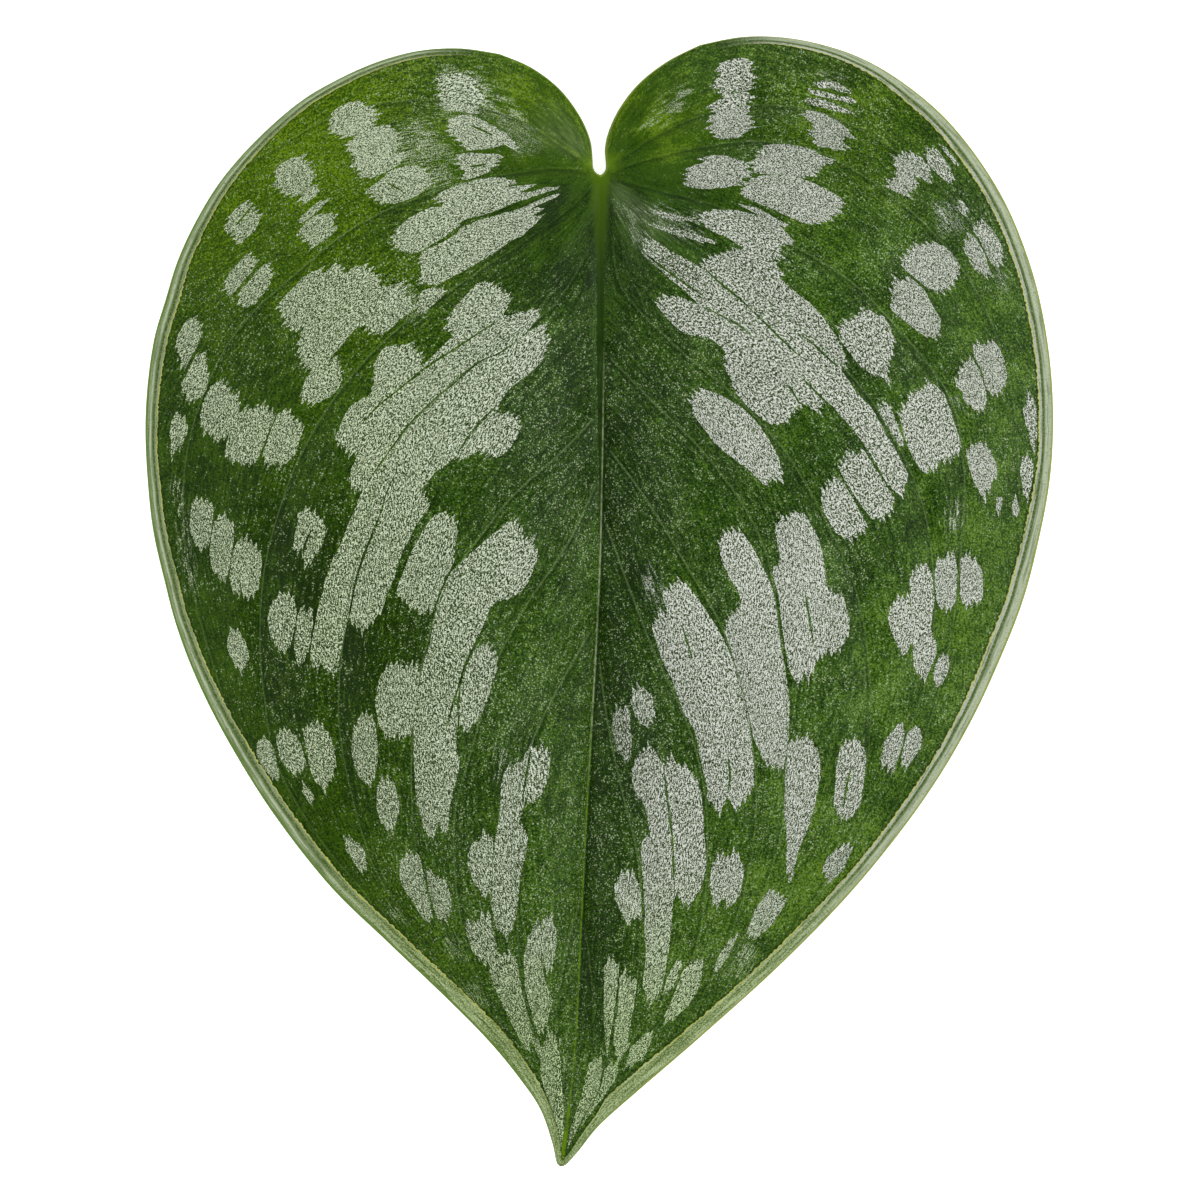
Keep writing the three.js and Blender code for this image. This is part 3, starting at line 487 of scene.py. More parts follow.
# Faint, broken splashes, where the silver shows only as flecks.
FAINT_SPLASHES = [
    [(428, 176), (430, 168), (445, 168), (455, 176), (459, 182), (450, 190), (440, 193), (430, 198)],
    [(395, 130), (425, 120), (450, 150), (458, 170), (440, 168), (415, 175), (400, 160)],
    [(400, 290), (420, 285), (430, 300), (425, 325), (405, 320)],
    [(436, 70), (480, 72), (500, 95), (530, 120), (545, 150), (520, 160), (490, 120), (440, 118)],
    [(640, 128), (660, 105), (678, 90), (690, 92), (682, 115), (655, 130)],
    [(640, 210), (660, 208), (700, 218), (700, 245), (672, 238), (645, 228)],
    [(612, 200), (630, 205), (652, 238), (648, 262), (626, 240)],
    [(820, 76), (838, 78), (843, 84), (822, 82)],
    [(995, 268), (1000, 268), (1010, 290), (1004, 292)],
    [(930, 205), (952, 205), (962, 232), (940, 236)],
    [(945, 400), (954, 399), (960, 410), (953, 413)],
    [(945, 512), (950, 503), (960, 502), (963, 520), (957, 534), (948, 528)],
    [(643, 572), (650, 566), (662, 590), (658, 612), (650, 605)],
    [(445, 937), (463, 940), (468, 958), (450, 956)],
    [(463, 982), (478, 985), (486, 1010), (474, 1008)],
    [(498, 745), (508, 748), (502, 780), (494, 776)],
    [(385, 902), (398, 905), (406, 922), (392, 916)],
    [(742, 940), (756, 942), (750, 972), (726, 978), (735, 955)],
    [(557, 1036), (566, 1036), (568, 1100), (566, 1140), (561, 1110)],
    [(172, 480), (182, 483), (198, 600), (186, 590), (180, 530)]]

# Dark seams between the strips of a splash, along the fine veins.
SEAMS = [
    [(521, 340), (500, 355), (480, 364), (455, 385), (435, 402), (410, 427), (398, 443), (380, 468),
     (367, 488)],
    [(503, 320), (480, 335), (455, 352), (430, 368), (405, 388), (380, 408), (360, 430)],
    [(498, 407), (480, 425), (465, 445), (458, 456)],
    [(397, 475), (388, 495), (382, 515), (374, 535), (366, 555), (358, 580), (352, 610), (346, 640)],
    [(314, 530), (307, 545), (305, 556)],
    [(475, 645), (466, 665), (460, 685), (455, 700), (450, 718), (447, 730)],
    [(531, 748), (526, 780), (523, 798)],
    [(681, 625), (686, 640), (692, 660)], [(727, 755), (729, 775), (727, 790)],
    [(663, 764), (666, 790), (669, 815), (672, 840), (674, 890)],
    [(768, 562), (773, 585), (776, 610), (780, 640), (784, 665), (787, 690)],
    [(803, 590), (808, 620), (812, 645)], [(850, 765), (845, 785), (842, 808)],
    [(745, 308), (760, 322), (780, 342), (800, 360)], [(795, 335), (810, 345), (828, 362), (838, 370)],
    [(800, 380), (815, 395), (825, 405)], [(785, 385), (798, 405)],
    [(702, 309), (718, 317), (738, 328), (752, 340)],
    [(703, 270), (715, 282), (733, 297), (748, 310)], [(640, 252), (665, 272), (690, 290), (705, 300)],
    [(252, 209), (244, 219), (236, 228)], [(430, 250), (445, 242), (462, 230), (480, 223)],
    [(388, 186), (396, 190), (405, 195)], [(470, 170), (478, 169), (487, 167)],
    [(470, 128), (482, 133), (495, 139)], [(690, 340), (712, 352), (726, 366)],
    [(838, 370), (855, 392), (873, 412), (888, 434), (898, 452)]]


def on_leaf(pixels):
    """Photograph pixels as millimetres on the leaf."""
    pixels = np.array(pixels, dtype=float)
    return (pixels - PIXEL_MIDDLE) * (PIXEL_SIZE, -PIXEL_SIZE)


# The lanes between the veins.
# The tissue grew in strips between the side veins. A place's lane says which veins it lies between, and
# its run how far it is along them, so teeth, seams and streaks can follow the veins.
LINE_STEP, NOTCH_STEP, MARGIN_STEP = 1.0, 0.4, 0.5
midrib = smooth_line(MIDRIB, LINE_STEP)
base, tip = midrib[0], midrib[-1]


class Half:
    """One side of the midrib: its edges, its veins and its lanes."""

    def __init__(self, notch, margin, veins, turn):
        self.notch, self.margin = smooth_line(notch, NOTCH_STEP), smooth_line(margin, MARGIN_STEP)
        self.veins = [smooth_line(vein, LINE_STEP) for vein in veins]
        self.turn = turn   # the tipward side of a vein: +1 left of it, -1 right of it
        lobe_end = np.argmin(np.hypot(*(self.margin - self.veins[0][-1]).T))
        lobe_edge = np.vstack([self.notch, self.margin[1:lobe_end + 1]])
        last_start = np.argmin(np.hypot(*(midrib - self.veins[-1][0]).T))
        self.rules = [lobe_edge, *self.veins, midrib[last_start:]]
        spans = [along(rule, after)[0].max() for rule, after in zip(self.rules, self.rules[1:])]
        self.places_across = np.concatenate([[0], np.cumsum(spans)])

    def lanes(self, places):
        """Place across and along the lanes, the veins' direction, and the nearest vein's signed distance."""
        found = [along(rule, places) for rule in self.rules]
        gaps = np.array([each[0] for each in found])
        runs = np.array([each[2] for each in found])
        ways = np.array([each[3] for each in found])
        pick = np.arange(len(places))
        near = gaps.argmin(0)
        tipward = np.array([each[1] for each in found])[near, pick] * self.turn
        other = np.where(tipward > 0, near + 1, near - 1)
        other = np.where(near == 0, 1, np.where(near == len(found) - 1, near - 1, other))
        share = gaps[near, pick] / np.maximum(gaps[near, pick] + gaps[other, pick], 1e-6)
        across = np.interp(near + (other - near) * share, np.arange(len(found)), self.places_across)
        run = (1 - share) * runs[near, pick] + share * runs[other, pick]
        way = (1 - share)[:, None] * ways[near, pick] + share[:, None] * ways[other, pick]
        way /= np.maximum(np.hypot(*way.T), 1e-6)[:, None]
        veins = gaps[1:-1]
        closest = veins.argmin(0)
        vein_run = runs[1:-1][closest, pick] / np.array([LINE_STEP * len(v) for v in self.veins])[closest]
        signed = veins[closest, pick] * np.array([each[1] for each in found[1:-1]])[closest, pick]
        return across, run, way, signed * self.turn, vein_run


left = Half(LEFT_NOTCH, LEFT_MARGIN, LEFT_VEINS, 1)
right = Half(RIGHT_NOTCH, RIGHT_MARGIN, RIGHT_VEINS, -1)


def by_half(places, of_half):
    """Runs of_half on the places of each side of the midrib and puts the answers back in order."""
    lower = places[:, 0] < np.interp(-places[:, 1], -midrib[:, 1], midrib[:, 0])
    on_left = np.where(places[:, 1] > base[1], places[:, 0] < base[0], lower)
    answers = None
    for half, chosen in ((left, on_left), (right, ~on_left)):
        parts = of_half(half, places[chosen])
        if answers is None:
            answers = [np.zeros((len(places), *part.shape[1:])) for part in parts]
        for answer, part in zip(answers, parts):
            answer[chosen] = part
    return answers


# How the blade lies.
# The limp blade rests on the keel under its midrib and on three low points of its margin. Each half
# arches up from the sunken midrib, and the margin lifts in three low waves.
BLADE = 0.8
EDGE_THINNING = 0.3   # the blade's edge is this much thinner than its middle
EDGE_THINNING_REACH = 7.0
EDGE_ROUND = 0.22
ARCH, ARCH_LEAN = 0.125, 0.85
MIDRIB_LIE, BASE_RISE = 1.9, 1.5
REST_FROM_Y, REST_TO_Y, REST_HALF_WIDTH = -5.0, 13.0, 1.0
TIP_DROOP_FROM_Y = -30.0
MARGIN_LIFT, LOBE_LIFT, WAVES, WAVE_CENTRE = 2.0, 0.5, 3, (0.0, -8.0)
VEIN_VALLEY, VEIN_VALLEY_WIDTH = 0.34, 1.5
VEIN_GROOVE, VEIN_GROOVE_WIDTH = 0.11, 0.3
VEIN_THINNING = 0.7   # share of its groove that a vein loses by its end
MIDRIB_GROOVE, MIDRIB_GROOVE_WIDTH = 0.28, 0.5
MIDRIB_GROOVE_FADE = (-60, 55)   # the groove grows from far above the base and fades past the tip
VEIN_RIDGE, VEIN_RIDGE_WIDTH = 0.3, 0.75
VEIN_FADE = 6.0
KEEL, KEEL_AT_BASE, KEEL_AT_TIP = 1.1, 1.5, 0.1
KEEL_WIDTH, KEEL_WIDTH_AT_TIP = 1.4, 0.5
SCAR_DEPTH, SCAR_RADIUS = 0.5, 2.2
QUILT, QUILT_ACROSS, QUILT_ALONG = 0.07, 1.3 / 5.0, 1 / 5.0   # slight unevenness between the veins
NO_VEIN = 9.0   # a distance at which a vein has no effect

seams = [smooth_line(on_leaf(seam), 0.25) for seam in SEAMS]


def distance(line, places):
    return along(line, places)[0]


def edges_of(half, places):
    to_notch, to_margin = distance(half.notch, places), distance(half.margin, places)
    blend = to_notch * to_margin / np.maximum(np.hypot(to_notch, to_margin), 1e-9)
    return blend, np.minimum(to_notch, to_margin), to_notch


def measure(places):
    """Everything about places that the blade's form and finish follow."""
    near = {}
    near["blend"], near["edge"], near["notch"] = by_half(places, edges_of)
    across, run, _, vein, vein_run = by_half(places, lambda half, part: half.lanes(part))
    near.update(across=across, run=run, vein=vein, vein_run=vein_run)
    near["midrib"], near["midrib_side"], _, _ = along(midrib, places)
    return near


def upper_face(places, near):
    """Height of the upper face over the surface that the leaf lies on."""
    x, y = places.T
    spine = MIDRIB_LIE + BASE_RISE * smoothstep(y, REST_TO_Y, base[1])
    spine -= (MIDRIB_LIE - BLADE) * smoothstep(-y, -TIP_DROOP_FROM_Y, -tip[1])
    angle = np.arctan2(y - WAVE_CENTRE[1], x - WAVE_CENTRE[0])
    wave = (1 - np.cos(WAVES * (angle + np.pi / 2))) / 2
    margin = BLADE + (MARGIN_LIFT + LOBE_LIFT * np.sin(angle)) * wave
    width = np.maximum(near["midrib"] + near["blend"], 1e-9)
    share = near["midrib"] / width
    height = spine + (margin - spine) * share + ARCH * width * np.sin(np.pi * share ** ARCH_LEAN)
    fade = smoothstep(near["blend"], 0, VEIN_FADE)
    height -= VEIN_VALLEY * bell(near["vein"], VEIN_VALLEY_WIDTH) * fade
    groove = VEIN_GROOVE * (1 - VEIN_THINNING * near["vein_run"])
    height -= groove * bell(near["vein"], VEIN_GROOVE_WIDTH) * fade
    height -= MIDRIB_GROOVE * bell(near["midrib"], MIDRIB_GROOVE_WIDTH) * smoothstep(-y, *MIDRIB_GROOVE_FADE)
    height -= EDGE_THINNING * (1 - smoothstep(near["edge"], 0, EDGE_THINNING_REACH))
    quilt = [noise.noise(Vector((across * QUILT_ACROSS, run * QUILT_ALONG, 3)))
             for across, run in zip(near["across"], near["run"])]
    height += QUILT * np.array(quilt) * fade * smoothstep(near["midrib"], 0, 3)
    return height


def rounding(edge):
    """How far a face falls away over the blade's rounded edge."""
    reach = np.clip(1 - edge / EDGE_ROUND, 0, 1)
    return EDGE_ROUND * (1 - np.sqrt(1 - reach ** 2))


def lower_face(places, near):
    """Height of the underside, with its keel, the scar of the stalk and its raised veins."""
    _, y = places.T
    smooth = dict(near, vein=np.full(len(y), NO_VEIN))
    tipward, baseward = smoothstep(-y, -REST_FROM_Y, -tip[1]), smoothstep(y, REST_TO_Y, base[1])
    depth = KEEL + (KEEL_AT_BASE - KEEL) * baseward
    depth += (KEEL_AT_TIP - depth) * tipward
    thick = BLADE - EDGE_THINNING * (1 - smoothstep(near["edge"], 0, EDGE_THINNING_REACH))
    thick += depth * bell(near["midrib"], KEEL_WIDTH + (KEEL_WIDTH_AT_TIP - KEEL_WIDTH) * tipward)
    thick += SCAR_DEPTH * bell(np.hypot(*(places - base).T), SCAR_RADIUS)
    fade = smoothstep(near["blend"], 0, VEIN_FADE)
    thick += (VEIN_VALLEY + VEIN_RIDGE) * bell(near["vein"], VEIN_RIDGE_WIDTH) * fade
    thick -= MIDRIB_GROOVE * bell(near["midrib"], MIDRIB_GROOVE_WIDTH) * smoothstep(-y, *MIDRIB_GROOVE_FADE)
    height = upper_face(places, smooth) - thick
    flat = (near["midrib"] < REST_HALF_WIDTH) & (y > REST_FROM_Y) & (y < REST_TO_Y)
    return np.where(flat, 0, np.maximum(height, 0))


# The blade's two skins.
# The leaf's upper and lower skin meet in one closed shell round the rim. Each is laid out in plan from even
# points, denser along the edge, the veins and the splashes' toothed outlines, and then given its height.
UPPER_STEP, LOWER_STEP = 0.45, 0.9
LOWER_VEIN_STEP = 0.7
EDGE_STEP = 0.33
EDGE_ROWS = (0.05, 0.13, 0.26, 0.5)
TOOTH_STEP, SIDE_STEP = 0.06, 0.26
TOOTH_DEPTH, TOOTH_WIDTH = 0.8, 0.44
TOOTH_WANDER, TOOTH_WANDER_SPAN = 0.15, 0.8   # how unevenly the teeth stand
TOOTH_VALLEY, TOOTH_PEAK, PEAK_VARIES = -0.3, 0.55, 0.75   # shares of the depth
JAG, JAG_SPAN = 0.07, 0.22   # roughness of the splashes' long sides
SEAM_WIDTH = 0.2


def closed(loop, step):
    return resampled(np.vstack([loop, loop[:1]]), step)[:-1]


outline = closed(np.vstack([
    left.notch[:-1], left.margin, right.margin[::-1][1:], right.notch[::-1][1:-1]]), EDGE_STEP)


def toothed(pixels, seed):
    """A splash's outline, with teeth where it crosses the veins and a fine jag where it follows them."""
    loop = closed(on_leaf(pixels), TOOTH_STEP)
    ahead = np.roll(loop, -3, axis=0) - np.roll(loop, 3, axis=0)
    area = np.sum(loop[:, 0] * np.roll(loop[:, 1], -1) - np.roll(loop[:, 0], -1) * loop[:, 1])
    outward = np.column_stack([ahead[:, 1], -ahead[:, 0]]) * np.sign(area)
    outward /= np.maximum(np.hypot(*outward.T), 1e-6)[:, None]
    _, _, way, _, _ = by_half(loop, lambda half, part: half.lanes(part))
    crossing = np.sum(outward * way, axis=1)
    step = np.roll(loop, -1, axis=0) - loop
    across = np.cumsum(np.abs(step[:, 0] * way[:, 1] - step[:, 1] * way[:, 0]))
    kept, half_tooth, since = [], 0, 0.0
    for index, offset in enumerate(across):
        offset += TOOTH_WANDER * noise.noise(Vector((offset / TOOTH_WANDER_SPAN, seed, 2.5)))
        place, at = loop[index], math.floor(2 * offset / TOOTH_WIDTH)
        since += TOOTH_STEP
        if at == half_tooth and since < SIDE_STEP:
            continue
        peak = TOOTH_PEAK + PEAK_VARIES * noise.noise(Vector((at * 1.9, seed * 1.3, 0.5)))
        height = 0 if at == half_tooth else TOOTH_VALLEY if at % 2 else peak
        half_tooth, since = at, 0.0
        reach = TOOTH_DEPTH * height * abs(crossing[index]) ** 0.8 * np.sign(crossing[index])
        jag = JAG * noise.noise(Vector((*(place / JAG_SPAN), seed)))
        kept.append(place + way[index] * reach + outward[index] * jag)
    return np.array(kept)


def strip(line, width):
    """A thin closed strip round a line, pointed at both ends."""
    ahead = np.gradient(line, axis=0)
    aside = np.column_stack([-ahead[:, 1], ahead[:, 0]]) / np.hypot(*ahead.T)[:, None]
    taper = np.sin(np.linspace(0, np.pi, len(line))) ** 0.4 * width / 2
    taper *= [1 + 0.5 * noise.noise(Vector((*(place / 0.7), 8))) for place in line]
    return np.vstack([line + aside * taper[:, None], (line - aside * taper[:, None])[-2:0:-1]])


splashes = [toothed(pixels, seed) for seed, pixels in enumerate(
    SPLASHES_LEFT_RIM + SPLASHES_LEFT_LOBE + SPLASHES_LEFT_MIDDLE + SPLASHES_LEFT_TIPWARD
    + SPLASHES_RIGHT_LOBE + SPLASHES_RIGHT_RIM + SPLASHES_RIGHT_MIDDLE + SPLASHES_RIGHT_TIPWARD)]
seam_strips = [strip(seam, SEAM_WIDTH) for seam in seams]


def rows_beside(line, offsets, is_closed=False):
    """Rows of points beside a line, at each of the offsets to its left."""
    if is_closed:
        ahead = np.roll(line, -1, axis=0) - np.roll(line, 1, axis=0)
    else:
        ahead = np.gradient(line, axis=0)
    aside = np.column_stack([-ahead[:, 1], ahead[:, 0]]) / np.hypot(*ahead.T)[:, None]
    return np.vstack([line + aside * offset for offset in offsets])


GRID_LENGTH, GRID_WIDTH, ROW_RISE = 100, 82, 0.866   # the even points stand in a grid of triangles
EDGE_ROOM, LINE_ROOM = 0.035, 0.3   # least distance between edge points, and of a point from a line


def triangulated(step, loops, lines, beside):
    """Points and triangles that fill the outline, with every loop and line kept as edges."""
    points, count = [outline], len(outline)
    edges = [(i, (i + 1) % count) for i in range(count)]
    for line, is_loop in [(loop, True) for loop in loops] + [(line, False) for line in lines]:
        points.append(line)
        edges += [(count + i, count + i + 1) for i in range(len(line) - 1)]
        if is_loop:
            edges.append((count + len(line) - 1, count))
        count += len(line)
    fixed = np.vstack(points)
    tree = kdtree.KDTree(len(fixed))
    for index, place in enumerate(fixed):
        tree.insert((*place, 0), index)
    tree.balance()
    rows, columns = math.ceil(GRID_LENGTH / step / ROW_RISE), math.ceil(GRID_WIDTH / step)
    column, row = np.meshgrid(
        np.arange(-columns // 2, columns // 2 + 1), np.arange(-rows // 2, rows // 2 + 1))
    even = np.column_stack([((column + (row % 2) / 2) * step).ravel(), (row * step * ROW_RISE).ravel()])
    wanted = []
    taken = {}
    edge_rows = rows_beside(outline, EDGE_ROWS, True)
    for group, room in ((edge_rows, EDGE_ROOM), (beside, 0.5 * step), (even, 0.55 * step)):
        group = group[inside(outline, group)]
        for place in group:
            if tree.find((*place, 0))[2] < min(room, LINE_ROOM):
                continue
            cell = (int(place[0] // step), int(place[1] // step))
            close = [other for dx in (-1, 0, 1) for dy in (-1, 0, 1)
                     for other in taken.get((cell[0] + dx, cell[1] + dy), ())]
            if all(math.dist(place, other) > room for other in close):
                wanted.append(place)
                taken.setdefault(cell, []).append(tuple(place))
    everything = [Vector(place) for place in np.vstack([fixed, np.array(wanted)])]
    places, _, faces, _, _, _ = delaunay_2d_cdt(everything, edges, [], 1, 1e-4, False)
    places, faces = np.array([tuple(place) for place in places]), np.array(faces)
    return places, faces[inside(outline, places[faces].mean(axis=1))]


VEIN_STOPS_SHORT = 0.8


def short_of_edge(line):
    """The part of a vein that stops a little short of the blade's edge."""
    return line[distance(np.vstack([outline, outline[:1]]), line) > VEIN_STOPS_SHORT]


vein_lines = [short_of_edge(resampled(vein, UPPER_STEP))[3:] for half in (left, right) for vein in half.veins]
midrib_line = midrib[1:-2]
beside_veins = np.vstack([rows_beside(line, (-0.6, -0.25, 0.25, 0.6)) for line in vein_lines])
beside_midrib = rows_beside(resampled(midrib, UPPER_STEP), (-1.0, -0.55, -0.22, 0.22, 0.55, 1.0))
upper_plan, upper_faces = triangulated(
    UPPER_STEP, splashes + seam_strips, vein_lines + [resampled(midrib_line, UPPER_STEP)],
    np.vstack([beside_midrib, beside_veins]))
lower_plan, lower_faces = triangulated(
    LOWER_STEP, [], [resampled(line, LOWER_VEIN_STEP) for line in vein_lines] + [midrib_line],
    np.vstack([beside_midrib[::2], beside_veins]))

ON_THE_EDGE = 1e-3
upper_near, lower_near = measure(upper_plan), measure(lower_plan)
upper_height = upper_face(upper_plan, upper_near) - rounding(upper_near["edge"])
lower_height = lower_face(lower_plan, lower_near) + rounding(lower_near["edge"])
on_edge = lower_near["edge"] < ON_THE_EDGE
lower_height = np.where(on_edge, np.maximum(lower_height, 0), lower_height)


def open_edges(faces):
    """Edges that only one triangle uses, in that triangle's direction."""
    sides = np.vstack([faces[:, [0, 1]], faces[:, [1, 2]], faces[:, [2, 0]]]).tolist()
    used = set(map(tuple, sides))
    return [side for side in map(tuple, sides) if side[::-1] not in used]


def place_key(place):
    return round(place[0], 4), round(place[1], 4)


below = {place_key(lower_plan[index]): index + len(upper_plan) for index in np.flatnonzero(on_edge)}
rim = []
for start, end in open_edges(upper_faces):
    under_start, under_end = below[place_key(upper_plan[start])], below[place_key(upper_plan[end])]
    rim.append((start, under_start, under_end, end))

points = np.vstack([np.column_stack([upper_plan, upper_height]), np.column_stack([lower_plan, lower_height])])
turned = lower_faces[:, ::-1] + len(upper_plan)
mesh = bpy.data.meshes.new("leaf_blade")
mesh.from_pydata((points * MM).tolist(), [], upper_faces.tolist() + turned.tolist() + rim)
blade = bpy.data.objects.new("leaf_blade", mesh)
bpy.context.collection.objects.link(blade)

bpy.ops.object.select_all(action="DESELECT")
blade.select_set(True)
bpy.context.view_layer.objects.active = blade
bpy.ops.object.shade_smooth()

# The pattern that grew in the blade, and painted light and shade.
# A pale band along the margin, broad lights and darks of the green, and silver that is brighter or duller in
# some places; the lights and darks of the green and of the silver are partly the leaf's own and partly
# painted light and shade. All are kept on the mesh's points and faces, where the finish reads them.

# Width of the pale band, as millimetres along Y and of width
BAND_LEFT = [
    (-50, 0.4), (-47.5, 0.7), (-44, 1.0), (-42, 1.3), (-40.5, 1.45), (-38, 1.6), (-30, 1.45), (-22, 1.5),
    (-14, 1.5), (-4, 1.38), (5, 1.25), (13.5, 1.14), (27, 1.32), (40, 0.95), (50, 0.65)]
BAND_RIGHT = [
    (-50, 0.4), (-47.5, 0.8), (-45.5, 1.2), (-43.5, 1.5), (-40, 1.5), (-35, 1.35), (-22, 1.35),
    (-10, 1.4), (-4, 1.6), (3, 1.6), (13.5, 1.35), (27, 1.43), (40, 1.45), (44, 1.35), (50, 0.65)]
BAND_STARTS = (1.0, 9.0)   # distance from the notch over which the band begins
FAINT_SOFTNESS = 1.6


def band_width(places):
    left_width = np.interp(places[:, 1], *zip(*BAND_LEFT))
    right_width = np.interp(places[:, 1], *zip(*BAND_RIGHT))
    return np.where(places[:, 0] < 0, left_width, right_width)


def softly_within(pixels, places, softness):
    """1 inside an outline, falling to 0 over the softness at its edge."""
    loop = on_leaf(pixels)
    gap = distance(np.vstack([loop, loop[:1]]), places)
    return np.clip(0.5 + np.where(inside(loop, places), gap, -gap) / softness, 0, 1)


# Broad lights and darks of the green, partly its own colour and partly painted light and shade: place and
# reach in pixels, lightness, yellowness
TONES_AND_PAINTED_LIGHT = [
    (240, 200, 130, 0.10, 0.45), (320, 90, 140, 0.18, 0.45), (540, 110, 70, 0.20, 0.4),
    (370, 300, 100, 0.02, 0.35), (660, 110, 60, 0.18, 0.3), (850, 110, 150, 0.06, 0.3),
    (540, 230, 90, -0.14, 0.2), (545, 520, 70, -0.10, 0.0), (680, 240, 80, -0.06, 0.0),
    (560, 400, 80, -0.12, 0.0), (640, 430, 70, -0.14, 0.0), (650, 720, 90, -0.08, 0.0),
    (200, 470, 120, -0.05, 0.45), (320, 560, 90, -0.16, 0.3), (380, 640, 100, -0.15, 0.2),
    (240, 360, 90, -0.06, 0.2), (300, 700, 110, -0.08, 0.4), (450, 760, 80, -0.08, 0.0),
    (250, 240, 90, 0.0, 0.1), (240, 820, 110, 0.0, 0.4), (380, 960, 100, 0.03, 0.3),
    (860, 700, 140, 0.05, 0.0), (840, 500, 110, -0.11, 0.0), (830, 370, 80, -0.05, 0.0),
    (960, 420, 130, 0.12, 0.0), (960, 640, 110, 0.13, 0.0), (820, 900, 110, 0.22, 0.1),
    (680, 960, 80, 0.06, 0.1)]

# Where the silver is brighter or duller, partly its own unevenness and partly painted light and shade: place
# and reach in pixels, lightness
SILVER_SHIFTS_AND_PAINTED_LIGHT = [
    (380, 80, 120, 0.08), (530, 70, 90, 0.08), (260, 300, 100, -0.07), (230, 500, 130, -0.08),
    (360, 700, 150, -0.14), (430, 900, 120, -0.13), (520, 980, 90, -0.08), (560, 1100, 110, -0.15),
    (850, 90, 90, -0.10), (800, 380, 120, 0.03), (700, 560, 90, 0.08), (622, 735, 32, -0.28),
    (668, 264, 16, -0.30), (684, 277, 12, -0.22), (672, 226, 26, -0.16), (950, 500, 130, 0.04),
    (840, 640, 160, 0.07), (900, 780, 100, -0.03), (800, 960, 90, -0.06)]


def spread(values_above, values_below):
    return np.concatenate([values_above, values_below]).astype(np.float32)


def keep(name, values, domain="POINT"):
    blade.data.attributes.new(name, "FLOAT", domain).data.foreach_set("value", values)


for name in ("vein", "vein_run", "across", "run"):
    keep(name, spread(upper_near[name], lower_near[name]))
keep("vein_gap", spread(np.abs(upper_near["vein"]), np.abs(lower_near["vein"])))
keep("midrib", spread(*(near["midrib"] * near["midrib_side"] for near in (upper_near, lower_near))))
keep("edge", spread(upper_near["edge"] / band_width(upper_plan), lower_near["edge"] / band_width(lower_plan)))
keep("band", spread(*(smoothstep(near["notch"], *BAND_STARTS) for near in (upper_near, lower_near))))

nothing_below = np.zeros(len(lower_plan))
faint = np.max([softly_within(pixels, upper_plan, FAINT_SOFTNESS) for pixels in FAINT_SPLASHES], axis=0)
keep("faint", spread(faint, nothing_below))


def spots(listed, column):
    """The sum over the upper face of soft round spots, as strong as the column says."""
    total = np.zeros(len(upper_plan))
    for x, y, reach, *strengths in listed:
        away = np.hypot(*(upper_plan - on_leaf([(x, y)])[0]).T)
        total += strengths[column] * bell(away, reach * PIXEL_SIZE)
    return total


for name, listed, column in (("silver_shift_and_painted_light", SILVER_SHIFTS_AND_PAINTED_LIGHT, 0), ("tone_and_painted_light", TONES_AND_PAINTED_LIGHT, 0), ("yellow", TONES_AND_PAINTED_LIGHT, 1)):
    keep(name, spread(spots(listed, column), nothing_below))

middles = upper_plan[upper_faces].mean(axis=1)
silver = np.zeros(len(middles), dtype=bool)
for splash in splashes:
    silver |= inside(splash, middles)
for seam in seam_strips:
    silver &= ~inside(seam, middles)
others = np.zeros(len(lower_faces) + len(rim))
keep("silver", np.concatenate([silver, others]).astype(np.float32), "FACE")


# The finish of the blade's two skins.
# The upper skin is satin over dark green, silver where it holds air, with a striped pale margin. The leaf
# bears no paint, but some light and shade are painted into the upper skin's colour. The underside is paler
# and dull, with pale raised veins.
class Value:
    """A socket of a finish. Arithmetic on it adds Math nodes."""

    def __init__(self, finish, socket):
        self.finish, self.socket = finish, socket

    def math(self, operation, *others):
        return self.finish.node("ShaderNodeMath", {"operation": operation}, dict(enumerate((self, *others))))

    def __add__(self, other):
        return self.math("ADD", other)

    def __sub__(self, other):
        return self.math("SUBTRACT", other)

    def __mul__(self, other):
        return self.math("MULTIPLY", other)

    def __rsub__(self, other):
        return self.finish.node("ShaderNodeMath", {"operation": "SUBTRACT"}, {0: other, 1: self})

    __radd__, __rmul__ = __add__, __mul__


